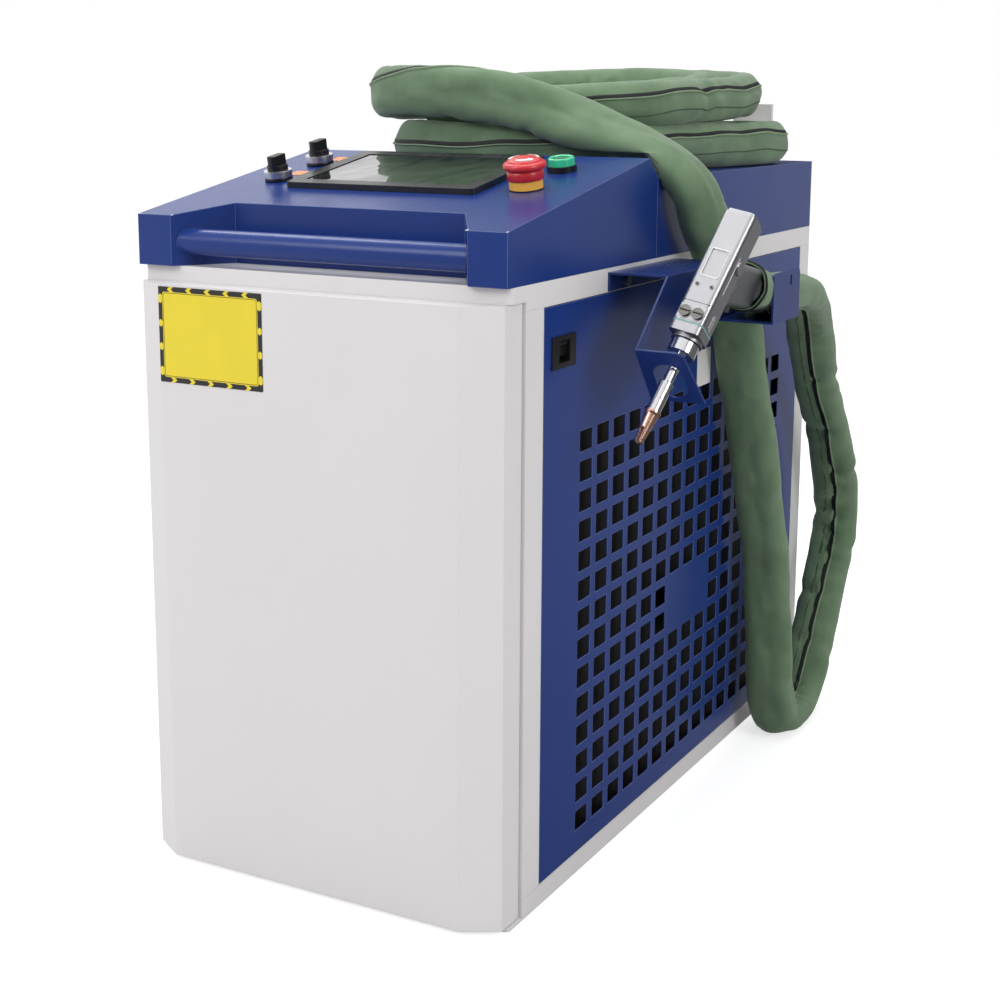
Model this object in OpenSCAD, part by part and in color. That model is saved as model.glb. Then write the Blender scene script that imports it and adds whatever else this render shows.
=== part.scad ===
// Laser welding machine on a floor cabinet with its hand gun, holder and sleeved hose.
// X points to the machine's right side, Y to its rear, Z up.
// The origin is on the floor in the middle of the cabinet.

/* [Cabinet] */
// Width of the cabinet over its side faces
case_w = 400; // [380:2:420]
// Depth from the front of the handle horns to the rear face
case_l = 790; // [770:5:830]
// Height of the cabinet up to the underside of the console
body_h = 592; // [586:1:610]
// Height of the base rails
base_h = 21; // [19:0.5:23]
// Height of the top rails
top_rail_h = 23; // [21:0.5:25]
// Depth of the base and top frame behind the horns' front plane
frame_y = 8; // [6:0.5:10]
// Width of the rails of the base and top frames
rail_w = 30; // [26:1:34]
// Width of the top frame's front rail, which closes the handle recess below
front_rail_w = 52; // [50:1:60]
// Radius of the frames' front corners
frame_r = 5; // [3:0.5:8]
// Thickness of the floor and frame sheet
frame_t = 2; // [1.5:0.1:2.5]
// Thickness of the lip under the base rails
lip_t = 3; // [2:0.2:3.5]

/* [Posts] */
// Front of the visible part of the front posts
post_y = 34; // [33:0.5:36]
// Visible length of the front posts along the side
post_l = 34; // [30:1:38]
// Length of the rear posts along the side
rear_post_l = 32; // [28:1:36]
// Depth of the posts across the cabinet
post_d = 25; // [22:1:28]
// Step of the front posts behind the cover's side returns
joggle = 4.5; // [4:0.25:6]

/* [Front cover] */
// Play of the front cover inside the cabinet's width
cover_play = 5.4; // [5:0.2:25.4]
// Width that the cover's slanted edges take off its flat face
face_in = 74; // [70:2:100]
// How far the face stands in front of the horns
face_proud = 18.6; // [12:0.2:24]
// Where the slanted wings end and the side returns begin
wing_y = 1.2; // [0:0.2:4]
// Rear edge of the side returns
return_y = 32.3; // [30:0.1:32.5]
// Gap between the floor and the cover
cover_foot = 4; // [3.5:0.5:8]
// Height of the cabinet's top edge above the cover
cover_drop = 15; // [15:1:21]
// Thickness of the cover sheet
cover_t = 1.5; // [1.2:0.1:2]

/* [Side panels] */
// Gap round each side panel
panel_gap = 0.8; // [0.5:0.1:0.9]
// Thickness of the panel sheet
panel_t = 1.5; // [1.2:0.1:2]
// Depth of the folded rim of a panel
panel_rim = 14; // [10:1:16]
// Width of one vent hole
vent_w = 27.2; // [20:0.4:30]
// Height of one vent hole
vent_h = 20; // [14:0.5:23]
// Distance from one column of vents to the next
vent_step_y = 37.3; // [34:0.1:38]
// Distance from one row of vents to the next
vent_step_z = 29.2; // [26:0.1:30]
// Least room between the last column of vents and the panel's end
vent_end_room = 40; // [20:1:50]
// Least room between the top row of vents and the panel's top
vent_top_room = 100; // [90:1:110]
// First column of vents behind the horns' front plane
vent_y = 144; // [130:1:150]
// Lowest edge of the vents
vent_z = 44.4; // [40:0.2:50]

/* [Panel latches] */
// Width of a latch case along the panel
latch_w = 48; // [40:1:52]
// Height of a latch case
latch_h = 30; // [27:0.5:34]
// Front edge of the latch case
latch_y = 83; // [78:1:90]
// Depth of the latches' lower edge below the top rail
latch_drop = 59; // [50:1:68]
// Width and height of the finger pocket
pocket_w = 22; // [18:0.5:26]
// Height of the finger pocket
pocket_h = 20; // [17:0.5:22]
// Depth of the finger pocket
pocket_d = 9; // [7:0.5:11]
// How far the case's rim stands out of the panel
latch_proud = 1.2; // [0.6:0.2:2]
// Height of the pull paddle
paddle_h = 12; // [10:0.5:13]
// Thickness of the pull paddle
paddle_t = 2.4; // [1.8:0.2:3]
// Diameter of the paddle's hinge pin
latch_pin_d = 2.4; // [2:0.1:3]

/* [Console] */
// Height of the console's front edge above its underside
console_front_h = 48; // [44:1:52]
// Distance of the ridge behind the front edge
ridge_y = 292; // [280:1:300]
// Height of the ridge above the console's underside
ridge_h = 100; // [92:1:104]
// Distance of the seam between the console and the rear deck
seam_y = 313; // [308:1:330]
// Height of the rear deck above its underside
deck_h = 80; // [70:1:84]
// Thickness of the console sheet
console_t = 2; // [1.5:0.1:2.5]
// Width that the horns take off the handle recess at the front
recess_front_in = 78; // [70:2:100]
// Width that the recess's walls take off its back
recess_back_in = 146; // [130:2:160]
// Depth of the handle recess
recess_l = 55; // [50:1:62]
// Diameter of the handle bar
bar_d = 25; // [22:0.5:27]
// Distance of the bar's axis behind the horns' front plane
bar_y = 17; // [15:0.5:19]
// Height of the bar's axis above the console's underside
bar_z = 22.5; // [18:0.5:26]

/* [Screen] */
// Width beside the screen that the switches need
screen_in = 186; // [178:2:204]
// Depth of the bezel up the slope
screen_l = 148; // [130:2:152]
// Thickness of the bezel above the slope
screen_t = 6; // [5:0.2:8]
// Width of the bezel's border round the glass
screen_rim = 15; // [10:0.5:20]
// Middle of the screen across the console
screen_x = -8; // [-12:1:-4]
// Middle of the screen up the slope
screen_v = 196; // [190:1:200]
// Depth of the screen's housing under the slope
screen_box_d = 24; // [15:1:28]

/* [Switches] */
// Distance of the emergency stop from the right side
estop_in = 63; // [55:1:66]
// Place of the emergency stop up the slope
estop_v = 154.5; // [145:0.5:165]
// Diameter of the emergency stop's yellow base
estop_base_d = 32; // [28:0.5:36]
// Height of the yellow base
estop_base_h = 11; // [9:0.5:13]
// Diameter of the red cap
estop_cap_d = 41; // [38:0.5:44]
// Height of the red cap over its skirt
estop_cap_h = 12; // [10:0.5:14]
// Diameter of the red neck under the cap
estop_neck_d = 34; // [30:0.5:36]
// Travel of the emergency stop
estop_travel = 5; // [4:0.5:6]
// Distance of the start button from the right side
start_in = 64; // [55:1:68]
// Place of the start button up the slope
start_v = 231; // [222:1:240]
// Diameter of the start button's black ring
start_ring_d = 29.5; // [26:0.5:32]
// Height of the black ring
start_ring_h = 6; // [5:0.2:8]
// Diameter of the green button
start_d = 26; // [22:0.5:26]
// Height of the green button above its ring
start_proud = 6; // [5:0.2:7]
// Travel of the start button
start_travel = 3; // [2:0.2:3.5]
// Distance of the selector switches from the left side
selector_in = 55; // [48:1:58]
// Place of the front selector up the slope
selector_v = 153.5; // [145:0.5:158]
// Distance between the two selectors
selector_step = 74; // [66:1:80]
// Diameter of a selector's bright ring
selector_ring_d = 28.5; // [26:0.5:31]
// Height of the selector's black foot
selector_foot_h = 3.5; // [3:0.1:4.5]
// Height of the selector's bright ring
selector_ring_h = 6.5; // [5:0.1:8]
// Diameter of the turning knob
knob_d = 21; // [19:0.5:23]
// Height of the turning knob
knob_h = 15; // [12:0.5:18]
// Thickness of the knob's grip wing
knob_wing_t = 9; // [7:0.5:11]
// Diameter of the switch shafts under the console
shaft_d = 12; // [10:0.5:14]

/* [Gun holder] */
// Thickness of the holder's sheet
holder_t = 2; // [1.6:0.1:2.2]
// Front of the holder behind the horns' front plane
holder_y = 199.5; // [196:0.5:203]
// Length of the holder's fixing flange
flange_l = 160; // [150:1:165]
// Height of the fixing flange
flange_h = 18; // [16:0.5:18]
// Reach of the top plate from the cabinet
reach = 62; // [60:1:66]
// Depth of the holder's top below the cabinet's top edge
holder_drop = 4; // [3:0.5:6]
// Length of the slanted front edge of the cheek, along the cabinet
cheek_run = 69.5; // [64:0.5:74]
// Drop of the slanted front edge of the cheek
cheek_drop = 60.5; // [56:0.5:64]
// Length of the nozzle plate along its fold
plate_l = 65; // [62:1:70]
// Width of the nozzle plate at its top
plate_w0 = 47; // [46:0.5:50]
// Width of the nozzle plate at its lower end
plate_w1 = 54; // [52:0.5:58]
// Angle of the nozzle plate from the horizontal
plate_a = 52; // [50:0.5:54]
// Width of the nozzle hole
hole_w = 30; // [28:0.5:32]
// Length of the nozzle hole
hole_l = 44; // [42:0.5:46]
// Depth of the hose channel's floor below the holder's top
shelf_drop = 55; // [55:0.5:57]
// Width of the channel between cheek and ear
channel_w = 56; // [54:0.5:60]
// Front of the ear behind the horns' front plane
ear_y = 328; // [326:1:334]
// Length of the ear
ear_l = 77; // [70:1:80]
// Height of the ear above the shelf's underside
ear_h = 50; // [44:1:54]

/* [Gun] */
// Width of the gun body
gun_w = 31; // [29:0.5:33]
// Thickness of the gun body
gun_d = 31; // [29:0.5:33]
// Radius of the gun body's long edges
gun_r = 5; // [3:0.5:6]
// Length from the nozzle tip to the gun's end
gun_l = 238; // [232:1:244]
// Length of the copper nozzle
nozzle_l = 32.5; // [30:0.5:35]
// Diameter of the copper nozzle at its joint
nozzle_d = 13.5; // [12.5:0.25:14.5]
// Diameter of the copper nozzle at its tip
tip_d = 8; // [7:0.25:9]
// Depth of the wire fork in the tip
fork_l = 15; // [12:0.5:18]
// Length of the thick part of the scale tube
scale_l = 30; // [26:0.5:32]
// Diameter of the thin part of the scale tube
stem_d = 9.6; // [8.6:0.2:10.4]
// Diameter of the gas bore
gas_d = 4; // [3:0.25:5]
// Diameter of the clamp ring
ring_d = 27; // [25:0.5:29]
// Length of the clamp ring
ring_l = 13; // [11:0.5:15]
// Distance from the tip to the clamp ring
ring_s = 91; // [89:0.5:93]
// Distance from the tip to the head block
head_s = 108; // [107:0.5:110]
// Length of the head block
head_l = 9; // [7:0.5:10]
// Thickness of the gasket
gasket_t = 1.2; // [0.8:0.1:1.6]
// Middle of the lens drawer from the tip
drawer_s = 127; // [126:0.5:128]
// Height of the lens drawer along the gun
drawer_h = 15; // [14.5:0.25:16]
// Width of the lens drawer
drawer_w = 26; // [25.5:0.25:26.5]
// Depth of the lens drawer into the gun
drawer_d = 27; // [26:0.5:28]
// Diameter of the drawer's lock screws
lock_d = 11.4; // [10:0.2:11.8]
// Distance between the lock screws
lock_step = 13; // [12.2:0.2:13.6]
// Length of the grip
grip_l = 91; // [84:1:92]
// Width of the grip across the gun
grip_w = 29; // [26:0.5:30]
// Depth of the grip along the gun
grip_d = 40; // [36:0.5:42]
// Lean of the grip towards the gun's end
grip_back = 24; // [20:1:28]
// Diameter of the round side button
side_button_d = 14; // [12:0.5:15]

/* [Hose] */
// Diameter of the sleeved hose
hose_d = 38; // [36:0.5:38]
// Half width of the coil's outer loop across the cabinet
coil_a = 178; // [174:1:180]
// Half length of the coil's outer loop along the cabinet
coil_b = 217; // [212:1:218]
// Step from loop to loop across the cabinet
coil_step_a = 39; // [39:0.5:40]
// Step from loop to loop along the cabinet
coil_step_b = 46; // [45:0.5:47]
// Rings in one loop of the coil
coil_rings = 24; // [20:2:30]

/* [Inside] */
// Depth of the equipment shelf below the top rail
deck_drop = 117; // [109:1:119]
// Room beside each fan in its half of the condenser
fan_room = 44.7; // [39:0.5:64]
// Blades of a condenser fan
fan_blades = 7; // [5:1:9]
// Thickness of the condenser core
core_t = 32; // [26:1:36]

/* [Hidden] */

cut = 1;
fit_gap = 0.3;
run_gap = 0.06;
half_w = case_w / 2;
rail_z = body_h - top_rail_h;
slope_a = atan((ridge_h - console_front_h) / ridge_y);
post_end = post_y + post_l;
rear_post_y = case_l - rear_post_l;
cover_w = case_w - cover_play;
face_w = case_w - face_in;
cover_top = body_h - cover_drop;
cover_h = cover_top - cover_foot;
panel_l = rear_post_y - post_end - 2 * panel_gap;
panel_h = rail_z - base_h - 2 * panel_gap;
panel_y = post_end + panel_gap;
panel_z = base_h + panel_gap;
inner_y = post_end + fit_gap;
inner_l = rear_post_y - post_end - 2 * fit_gap;
vent_cols = floor((panel_y + panel_l - vent_end_room - vent_y) / vent_step_y);
vent_rows = floor((panel_z + panel_h - vent_top_room - vent_z) / vent_step_z);
latch_z = rail_z - latch_drop;
deck_z = rail_z - deck_drop;
recess_front_w = case_w - recess_front_in;
recess_back_w = case_w - recess_back_in;
screen_w = case_w - screen_in;
estop_x = half_w - estop_in;
start_x = half_w - start_in;
selector_x = selector_in - half_w;
holder_z = body_h - holder_drop;
shelf_z = holder_z - shelf_drop;
hinge_in_x = 2.5;
hinge_in_y = 5;
hinge_pin_d = 3;
hinge_seat = 6;
blue = "#24386c";
white = "#e6e4e8";

module stand() {
    translate([0, -case_l / 2, 0]) children();
}

module block(low, size) {
    translate(low) cube(size);
}

module on_slope(x, v) {
    translate([x, v * cos(slope_a), body_h + console_front_h + v * sin(slope_a)])
        rotate([slope_a, 0, 0]) children();
}

module both_sides() {
    children();
    mirror([1, 0, 0]) children();
}

module rounded(w, h, r) {
    square([w - 2 * r, h], center = true);
    square([w, h - 2 * r], center = true);
    for (x = [-1, 1], y = [-1, 1])
        translate([x * (w / 2 - r), y * (h / 2 - r)]) circle(r);
}

module rod_x(d, x0, x1) {
    translate([x0, 0, 0]) rotate([0, 90, 0]) cylinder(d = d, h = x1 - x0);
}

module rod_y(d, y0, y1) {
    translate([0, y0, 0]) rotate([-90, 0, 0]) cylinder(d = d, h = y1 - y0);
}

// Frame outline seen from above, with rounded front corners
module frame_plan() {
    translate([-half_w, frame_y + frame_r]) square([case_w, case_l - frame_y - frame_r]);
    translate([frame_r - half_w, frame_y]) square([case_w - 2 * frame_r, case_l - frame_y]);
    for (s = [-1, 1])
        translate([s * (half_w - frame_r), frame_y + frame_r]) circle(frame_r);
}

module frame_hole(front_w) {
    translate([rail_w - half_w, frame_y + front_w])
        square([case_w - 2 * rail_w, case_l - frame_y - rail_w - front_w]);
}

// Base rails with a cross rail under the middle of the floor
module base_frame() color(white) stand() {
    linear_extrude(lip_t) difference() {
        frame_plan();
        frame_hole(rail_w);
    }
    translate([0, 0, lip_t]) linear_extrude(base_h - frame_t - lip_t) difference() {
        notched_plan();
        frame_hole(rail_w);
    }
    block([rail_w / 2 - half_w, (case_l - rail_w) / 2, 0],
        [case_w - rail_w, rail_w, base_h - frame_t]);
}

module notched_plan() {
    translate([joggle - half_w, frame_y]) square([case_w - 2 * joggle, case_l - frame_y]);
    translate([-half_w, post_y]) square([case_w, case_l - post_y]);
}

module floor_plate() color("#c9c8cc") stand() difference() {
    translate([0, 0, base_h - frame_t]) linear_extrude(frame_t) notched_plan();
    door_pivot(hinge_pin_d + 2 * run_gap, base_h - frame_t - cut, base_h + cut);
}

// Folded section of a front post, stepped in behind the cover's side return
module front_post_plan() {
    polygon([[half_w, post_end], [half_w, post_y], [half_w - joggle, post_y],
        [half_w - joggle, frame_y], [half_w - post_d, frame_y],
        [half_w - post_d, frame_y + frame_t], [half_w - joggle - frame_t, frame_y + frame_t],
        [half_w - joggle - frame_t, post_y + frame_t], [half_w - frame_t, post_y + frame_t],
        [half_w - frame_t, post_end - frame_t], [half_w - post_d, post_end - frame_t],
        [half_w - post_d, post_end]]);
}

module front_posts() color(white) stand() both_sides() {
    translate([0, 0, base_h]) linear_extrude(rail_z - base_h) front_post_plan();
}

module rear_post_plan() {
    polygon([[half_w - post_d, case_l], [half_w, case_l], [half_w, rear_post_y],
        [half_w - post_d, rear_post_y], [half_w - post_d, rear_post_y + frame_t],
        [half_w - frame_t, rear_post_y + frame_t], [half_w - frame_t, case_l - frame_t],
        [half_w - post_d, case_l - frame_t]]);
}

module rear_posts() color(white) stand() both_sides() {
    translate([0, 0, base_h]) linear_extrude(rail_z - base_h) rear_post_plan();
}

module top_frame() color(white) stand() difference() {
    top_rails(cover_top + fit_gap);
    door_pivot(hinge_pin_d + 2 * run_gap, rail_z - cut, rail_z + hinge_seat);
}

module top_rails(step_z) {
    translate([0, 0, rail_z]) linear_extrude(step_z - rail_z) difference() {
        notched_plan();
        frame_hole(front_rail_w);
    }
    translate([0, 0, step_z]) linear_extrude(body_h - step_z) difference() {
        frame_plan();
        frame_hole(front_rail_w);
    }
}

// Outline of the front cover, drawn in by an amount
module cover_plan(inset) {
    lean = atan((wing_y + face_proud) / ((cover_w - face_w) / 2));
    shift = inset * tan(lean / 2);
    drop = inset * tan((90 - lean) / 2);
    polygon([[inset - cover_w / 2, return_y], [inset - cover_w / 2, wing_y + drop],
        [shift - face_w / 2, inset - face_proud], [face_w / 2 - shift, inset - face_proud],
        [cover_w / 2 - inset, wing_y + drop], [cover_w / 2 - inset, return_y]]);
}

module front_cover() color(white) stand() {
    translate([0, 0, cover_foot]) {
        linear_extrude(cover_h) difference() {
            cover_plan(0);
            cover_plan(cover_t);
            translate([cover_t - cover_w / 2, return_y - cover_t])
                square([cover_w - 2 * cover_t, 2 * cover_t]);
        }
        for (z = [0, cover_h - cover_t])
            translate([0, 0, z]) linear_extrude(cover_t) intersection() {
                cover_plan(0);
                translate([joggle - half_w, -case_l / 2])
                    square([case_w - 2 * joggle, case_l / 2 + frame_y - fit_gap]);
            }
    }
}

// Vent holes as a flat pattern, with a plain place left out of the middle
plain_col = 6;
plain_row = 5;
plain_cols = 3;
plain_rows = 2;

module vents(cols, rows) {
    for (c = [0:cols - 1], r = [0:rows - 1])
        if (c < plain_col || c >= plain_col + plain_cols || r < plain_row
            || r >= plain_row + plain_rows)
            translate([vent_y + c * vent_step_y, vent_z + r * vent_step_z])
                square([vent_w, vent_h]);
}

module latch_cutout() {
    translate([latch_y + latch_rim, latch_z + latch_rim])
        square([latch_w - 2 * latch_rim, latch_h - 2 * latch_rim]);
}

// Side panel as a folded tray, standing in the plane y-z and facing +x
module panel_tray() {
    translate([half_w - panel_t, 0, 0]) rotate([90, 0, 90]) linear_extrude(panel_t) difference() {
        translate([panel_y, panel_z]) square([panel_l, panel_h]);
        children();
    }
    translate([half_w - panel_rim, 0, 0]) rotate([90, 0, 90])
        linear_extrude(panel_rim - panel_t) difference() {
            translate([panel_y, panel_z]) square([panel_l, panel_h]);
            translate([panel_y + panel_t, panel_z + panel_t])
                square([panel_l - 2 * panel_t, panel_h - 2 * panel_t]);
        }
}

screw_hole_d = 6;
screw_hole_y = rear_post_y - 1.5 * screw_hole_d;
screw_hole_drop = 35;

module right_panel() color(blue) stand() panel_tray() {
    vents(vent_cols, vent_rows);
    latch_cutout();
    translate([screw_hole_y, rail_z - screw_hole_drop]) circle(d = screw_hole_d);
}

left_cols = 6;
left_first_col = 5;
left_rows = 6;

// Pivot line of the left panel, near its outer rear corner
module door_pivot(d, z0, z1) {
    translate([hinge_in_x - half_w, panel_y + panel_l - hinge_in_y, z0]) cylinder(d = d, h = z1 - z0);
}

module left_panel() color(blue) stand() {
    mirror([1, 0, 0]) panel_tray() {
        for (c = [left_first_col:left_first_col + left_cols - 1], r = [0:left_rows - 1])
            translate([vent_y + c * vent_step_y, vent_z + r * vent_step_z])
                square([vent_w, vent_h]);
        latch_cutout();
    }
    door_pivot(hinge_pin_d, base_h - frame_t + fit_gap, panel_z + panel_t / 2);
    door_pivot(hinge_pin_d, panel_z + panel_h - panel_t / 2, rail_z + hinge_seat - fit_gap);
}

latch_rim = 3;
latch_back = 4;

module latch_case() {
    deep = pocket_d + latch_back;
    mid_y = latch_y + latch_w / 2;
    mid_z = latch_z + latch_h / 2;
    difference() {
        union() {
            block([half_w, latch_y, latch_z], [latch_proud, latch_w, latch_h]);
            block([half_w - deep, latch_y + latch_rim + fit_gap, latch_z + latch_rim + fit_gap],
                [deep, latch_w - 2 * (latch_rim + fit_gap), latch_h - 2 * (latch_rim + fit_gap)]);
        }
        block([half_w - pocket_d, mid_y - pocket_w / 2, mid_z - pocket_h / 2],
            [pocket_d + latch_proud + cut, pocket_w, pocket_h]);
        translate([pin_x, 0, pin_z])
            rod_y(latch_pin_d + 2 * run_gap, mid_y - pocket_w / 2 - pin_seat, mid_y + pocket_w / 2 + pin_seat);
    }
}

pin_seat = 2;
pin_drop = 2.6;
pin_x = half_w - pin_drop;
pin_z = latch_z + latch_h / 2 + pocket_h / 2 - pin_drop;

module latch_paddle() {
    mid_y = latch_y + latch_w / 2;
    half = pocket_w / 2;
    translate([pin_x, 0, pin_z]) {
        rod_y(latch_pin_d, mid_y - half - pin_seat + fit_gap, mid_y + half + pin_seat - fit_gap);
        rod_y(2 * paddle_t, mid_y - half + fit_gap, mid_y + half - fit_gap);
        block([-paddle_t, mid_y - half + fit_gap, -paddle_h],
            [paddle_t, pocket_w - 2 * fit_gap, paddle_h]);
    }
}

module right_latch_case() color("#1d1d20") stand() latch_case();
module left_latch_case() color("#1d1d20") stand() mirror([1, 0, 0]) latch_case();
module right_latch_paddle() color("#2c2c30") stand() latch_paddle();
module left_latch_paddle() color("#2c2c30") stand() mirror([1, 0, 0]) latch_paddle();

rear_fit_d = 26;
rear_vent_w = 120;
rear_vent_h = 6;
rear_vent_step = 16;
rear_vent_rows = 12;
rear_vent_z = 120;
cap_in = 90;
switch_in = 95;
cap_x = cap_in - half_w;
cap_drop = 69;
cap_z = rail_z - cap_drop;
switch_x = half_w - switch_in;

module rear_panel() color(blue) stand() {
    width = case_w - 2 * post_d - 2 * fit_gap;
    difference() {
        block([-width / 2, case_l - panel_t - frame_t, panel_z],
            [width, panel_t + frame_t, panel_h]);
        for (r = [0:rear_vent_rows - 1], s = [-1, 0])
            block([s * (rear_vent_w + rear_vent_h) + rear_vent_h / 2, case_l / 2,
                rear_vent_z + r * rear_vent_step], [rear_vent_w, case_l, rear_vent_h]);
        translate([cap_x, 0, cap_z]) rod_y(rear_fit_d, case_l / 2, case_l + cut);
        translate([switch_x, 0, cap_z]) rod_y(rear_fit_d, case_l / 2, case_l + cut);
    }
}

// Console seen from the side, drawn in by an amount
module console_side(inset) {
    rise = inset / cos(slope_a);
    rear_a = atan((seam_y - ridge_y) / (ridge_h - deck_h));
    polygon([[inset, -cut * sign(inset)], [inset, console_front_h + inset * tan(slope_a) - rise],
        [ridge_y - inset * tan((90 - slope_a - rear_a) / 2), ridge_h - rise],
        [seam_y - inset, deck_h - inset], [seam_y - inset, -cut * sign(inset)]]);
}

// Console seen from above, drawn in by an amount, with the handle recess
module console_plan(inset) {
    side = half_w - inset;
    skew = atan((recess_front_w - recess_back_w) / 2 / recess_l);
    shift = inset / cos(skew) + inset * tan(skew);
    back = recess_back_w / 2 + inset * tan((90 - skew) / 2);
    polygon([[-side, inset], [-recess_front_w / 2 - shift, inset],
        [-back, recess_l + inset], [back, recess_l + inset],
        [recess_front_w / 2 + shift, inset], [side, inset], [side, case_l / 2],
        [-side, case_l / 2]]);
}

module console_body(inset) {
    intersection() {
        translate([-half_w + inset, 0, 0]) rotate([90, 0, 90])
            linear_extrude(case_w - 2 * inset) console_side(inset);
        translate([0, 0, -2 * cut]) linear_extrude(2 * ridge_h) console_plan(inset);
    }
}

switch_hole_d = 22;

module console_shell() color(blue) stand() {
    difference() {
        translate([0, 0, body_h]) difference() {
            console_body(0);
            console_body(console_t);
        }
        on_slope(screen_x, screen_v)
            cube([screen_w - 2 * screen_rim + 2 * fit_gap,
                screen_l - 2 * screen_rim + 2 * fit_gap, 4 * console_t], center = true);
        for (p = [[estop_x, estop_v], [start_x, start_v], [selector_x, selector_v],
                [selector_x, selector_v + selector_step]])
            on_slope(p[0], p[1]) cylinder(d = switch_hole_d, h = 4 * console_t, center = true);
    }
}

module rear_deck() color(blue) stand() {
    length = case_l - seam_y - fit_gap;
    translate([0, seam_y + fit_gap, body_h]) difference() {
        block([-half_w, 0, 0], [case_w, length, deck_h]);
        block([console_t - half_w, console_t, -cut],
            [case_w - 2 * console_t, length - 2 * console_t, deck_h - console_t + cut]);
    }
}

module handle_bar() color(blue) stand() {
    span = recess_front_w - (recess_front_w - recess_back_w) * bar_y / recess_l;
    skew = atan((recess_front_w - recess_back_w) / 2 / recess_l);
    translate([0, bar_y, body_h + bar_z]) difference() {
        rod_x(bar_d, -recess_front_w / 2, recess_front_w / 2);
        both_sides() translate([span / 2, 0, 0]) rotate([0, 0, skew])
            block([-fit_gap, -bar_d, -bar_d], [bar_d, 3 * bar_d, 2 * bar_d]);
    }
}

glass_t = 1.2;
glass_sink = 0.8;
bezel_r = 5;

module screen_bezel() color("#202228") stand() on_slope(screen_x, screen_v) {
    difference() {
        union() {
            linear_extrude(screen_t) rounded(screen_w, screen_l, bezel_r);
            translate([0, 0, -screen_box_d]) linear_extrude(screen_box_d + cut)
                square([screen_w - 2 * screen_rim, screen_l - 2 * screen_rim], center = true);
        }
        translate([0, 0, screen_t - glass_sink - glass_t]) linear_extrude(screen_t)
            square([screen_w - 2 * screen_rim, screen_l - 2 * screen_rim], center = true);
    }
}

module screen_glass() color("#5b6a70") stand() on_slope(screen_x, screen_v) {
    inset = 2 * (screen_rim + fit_gap);
    translate([0, 0, screen_t - glass_sink - glass_t])
        linear_extrude(glass_t) square([screen_w - inset, screen_l - inset], center = true);
}

nut_h = 5;
nut_d = 28;
selector_foot_in = 2;
body_l = 30;

// Base of a panel switch: foot on the slope, thread through the sheet and nut below
module switch_mount(d, h) {
    cylinder(d = d, h = h);
    translate([0, 0, -body_l]) cylinder(d = switch_hole_d - fit_gap, h = body_l + cut);
    translate([0, 0, -console_t - fit_gap - nut_h]) cylinder(d = nut_d, h = nut_h);
}

module estop_base() color("#f0a81c") stand() on_slope(estop_x, estop_v) difference() {
    switch_mount(estop_base_d, estop_base_h);
    translate([0, 0, -body_l / 2]) cylinder(d = shaft_d + 2 * run_gap, h = body_l + estop_base_h);
}

module estop_plunger() color("#b3271f") stand() on_slope(estop_x, estop_v) {
    stem = body_l / 2 - estop_travel - fit_gap;
    translate([0, 0, -stem]) cylinder(d = shaft_d, h = stem + estop_base_h + estop_travel + fit_gap);
    translate([0, 0, estop_base_h + estop_travel + fit_gap / 2])
        cylinder(d = estop_neck_d, h = cap_gap);
    translate([0, 0, estop_base_h + estop_travel + fit_gap / 2])
        cylinder(d = shaft_d, h = cap_gap + estop_cap_h / 2);
}

cap_gap = 2.5;
cap_round_share = 0.62;

module estop_cap() color("#cc2f27") stand() on_slope(estop_x, estop_v) {
    low = estop_base_h + estop_travel + fit_gap / 2 + cap_gap + run_gap;
    r = estop_cap_d / 2;
    skirt = estop_cap_h * cap_round_share;
    translate([0, 0, low]) difference() {
        rotate_extrude() polygon(concat([[0, 0], [estop_neck_d / 2, 0]],
            [for (a = [-60:10:90]) [r - skirt / 2 + skirt / 2 * cos(a),
                skirt / 2 + skirt / 2 * sin(a)]],
            [for (a = [20:10:90]) [(r - skirt / 2) * cos(a),
                skirt + (estop_cap_h - skirt) * sin(a)]]));
        translate([0, 0, -cut]) cylinder(d = shaft_d + 2 * run_gap, h = estop_cap_h / 2 + cut + run_gap);
    }
}

module start_ring() color("#1d1d20") stand() on_slope(start_x, start_v) difference() {
    switch_mount(start_ring_d, start_ring_h);
    translate([0, 0, start_ring_h - start_travel - fit_gap]) cylinder(d = start_d + 2 * run_gap, h = body_l);
    translate([0, 0, -body_l / 2]) cylinder(d = shaft_d + 2 * run_gap, h = body_l);
}

module start_button() color("#12894a") stand() on_slope(start_x, start_v) {
    stem = body_l / 2 - start_travel - fit_gap;
    translate([0, 0, -stem]) cylinder(d = shaft_d, h = stem + start_ring_h + fit_gap);
    translate([0, 0, start_ring_h]) cylinder(d = start_d, h = start_proud);
}

module selector_base(v) {
    on_slope(selector_x, v) difference() {
        union() {
            switch_mount(selector_ring_d - selector_foot_in, selector_foot_h);
            translate([0, 0, selector_foot_h])
                cylinder(d = selector_ring_d, h = selector_ring_h);
        }
        translate([0, 0, -body_l / 2])
            cylinder(d = shaft_d + 2 * run_gap, h = body_l + selector_foot_h + selector_ring_h);
    }
}

module selector_knob(v) {
    top = selector_foot_h + selector_ring_h;
    on_slope(selector_x, v) {
        translate([0, 0, fit_gap - body_l / 2]) cylinder(d = shaft_d, h = body_l / 2 + top);
        translate([0, 0, top + fit_gap / 2]) {
            linear_extrude(knob_h / 3) circle(d = knob_d);
            linear_extrude(knob_h) intersection() {
                circle(d = knob_d);
                square([knob_wing_t, knob_d], center = true);
            }
        }
    }
}

module front_selector_base() color("#b9bcc2") stand() selector_base(selector_v);
module rear_selector_base() color("#b9bcc2") stand() selector_base(selector_v + selector_step);
module front_selector_knob() color("#18181a") stand() selector_knob(selector_v);
module rear_selector_knob() color("#18181a") stand() selector_knob(selector_v + selector_step);

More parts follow.
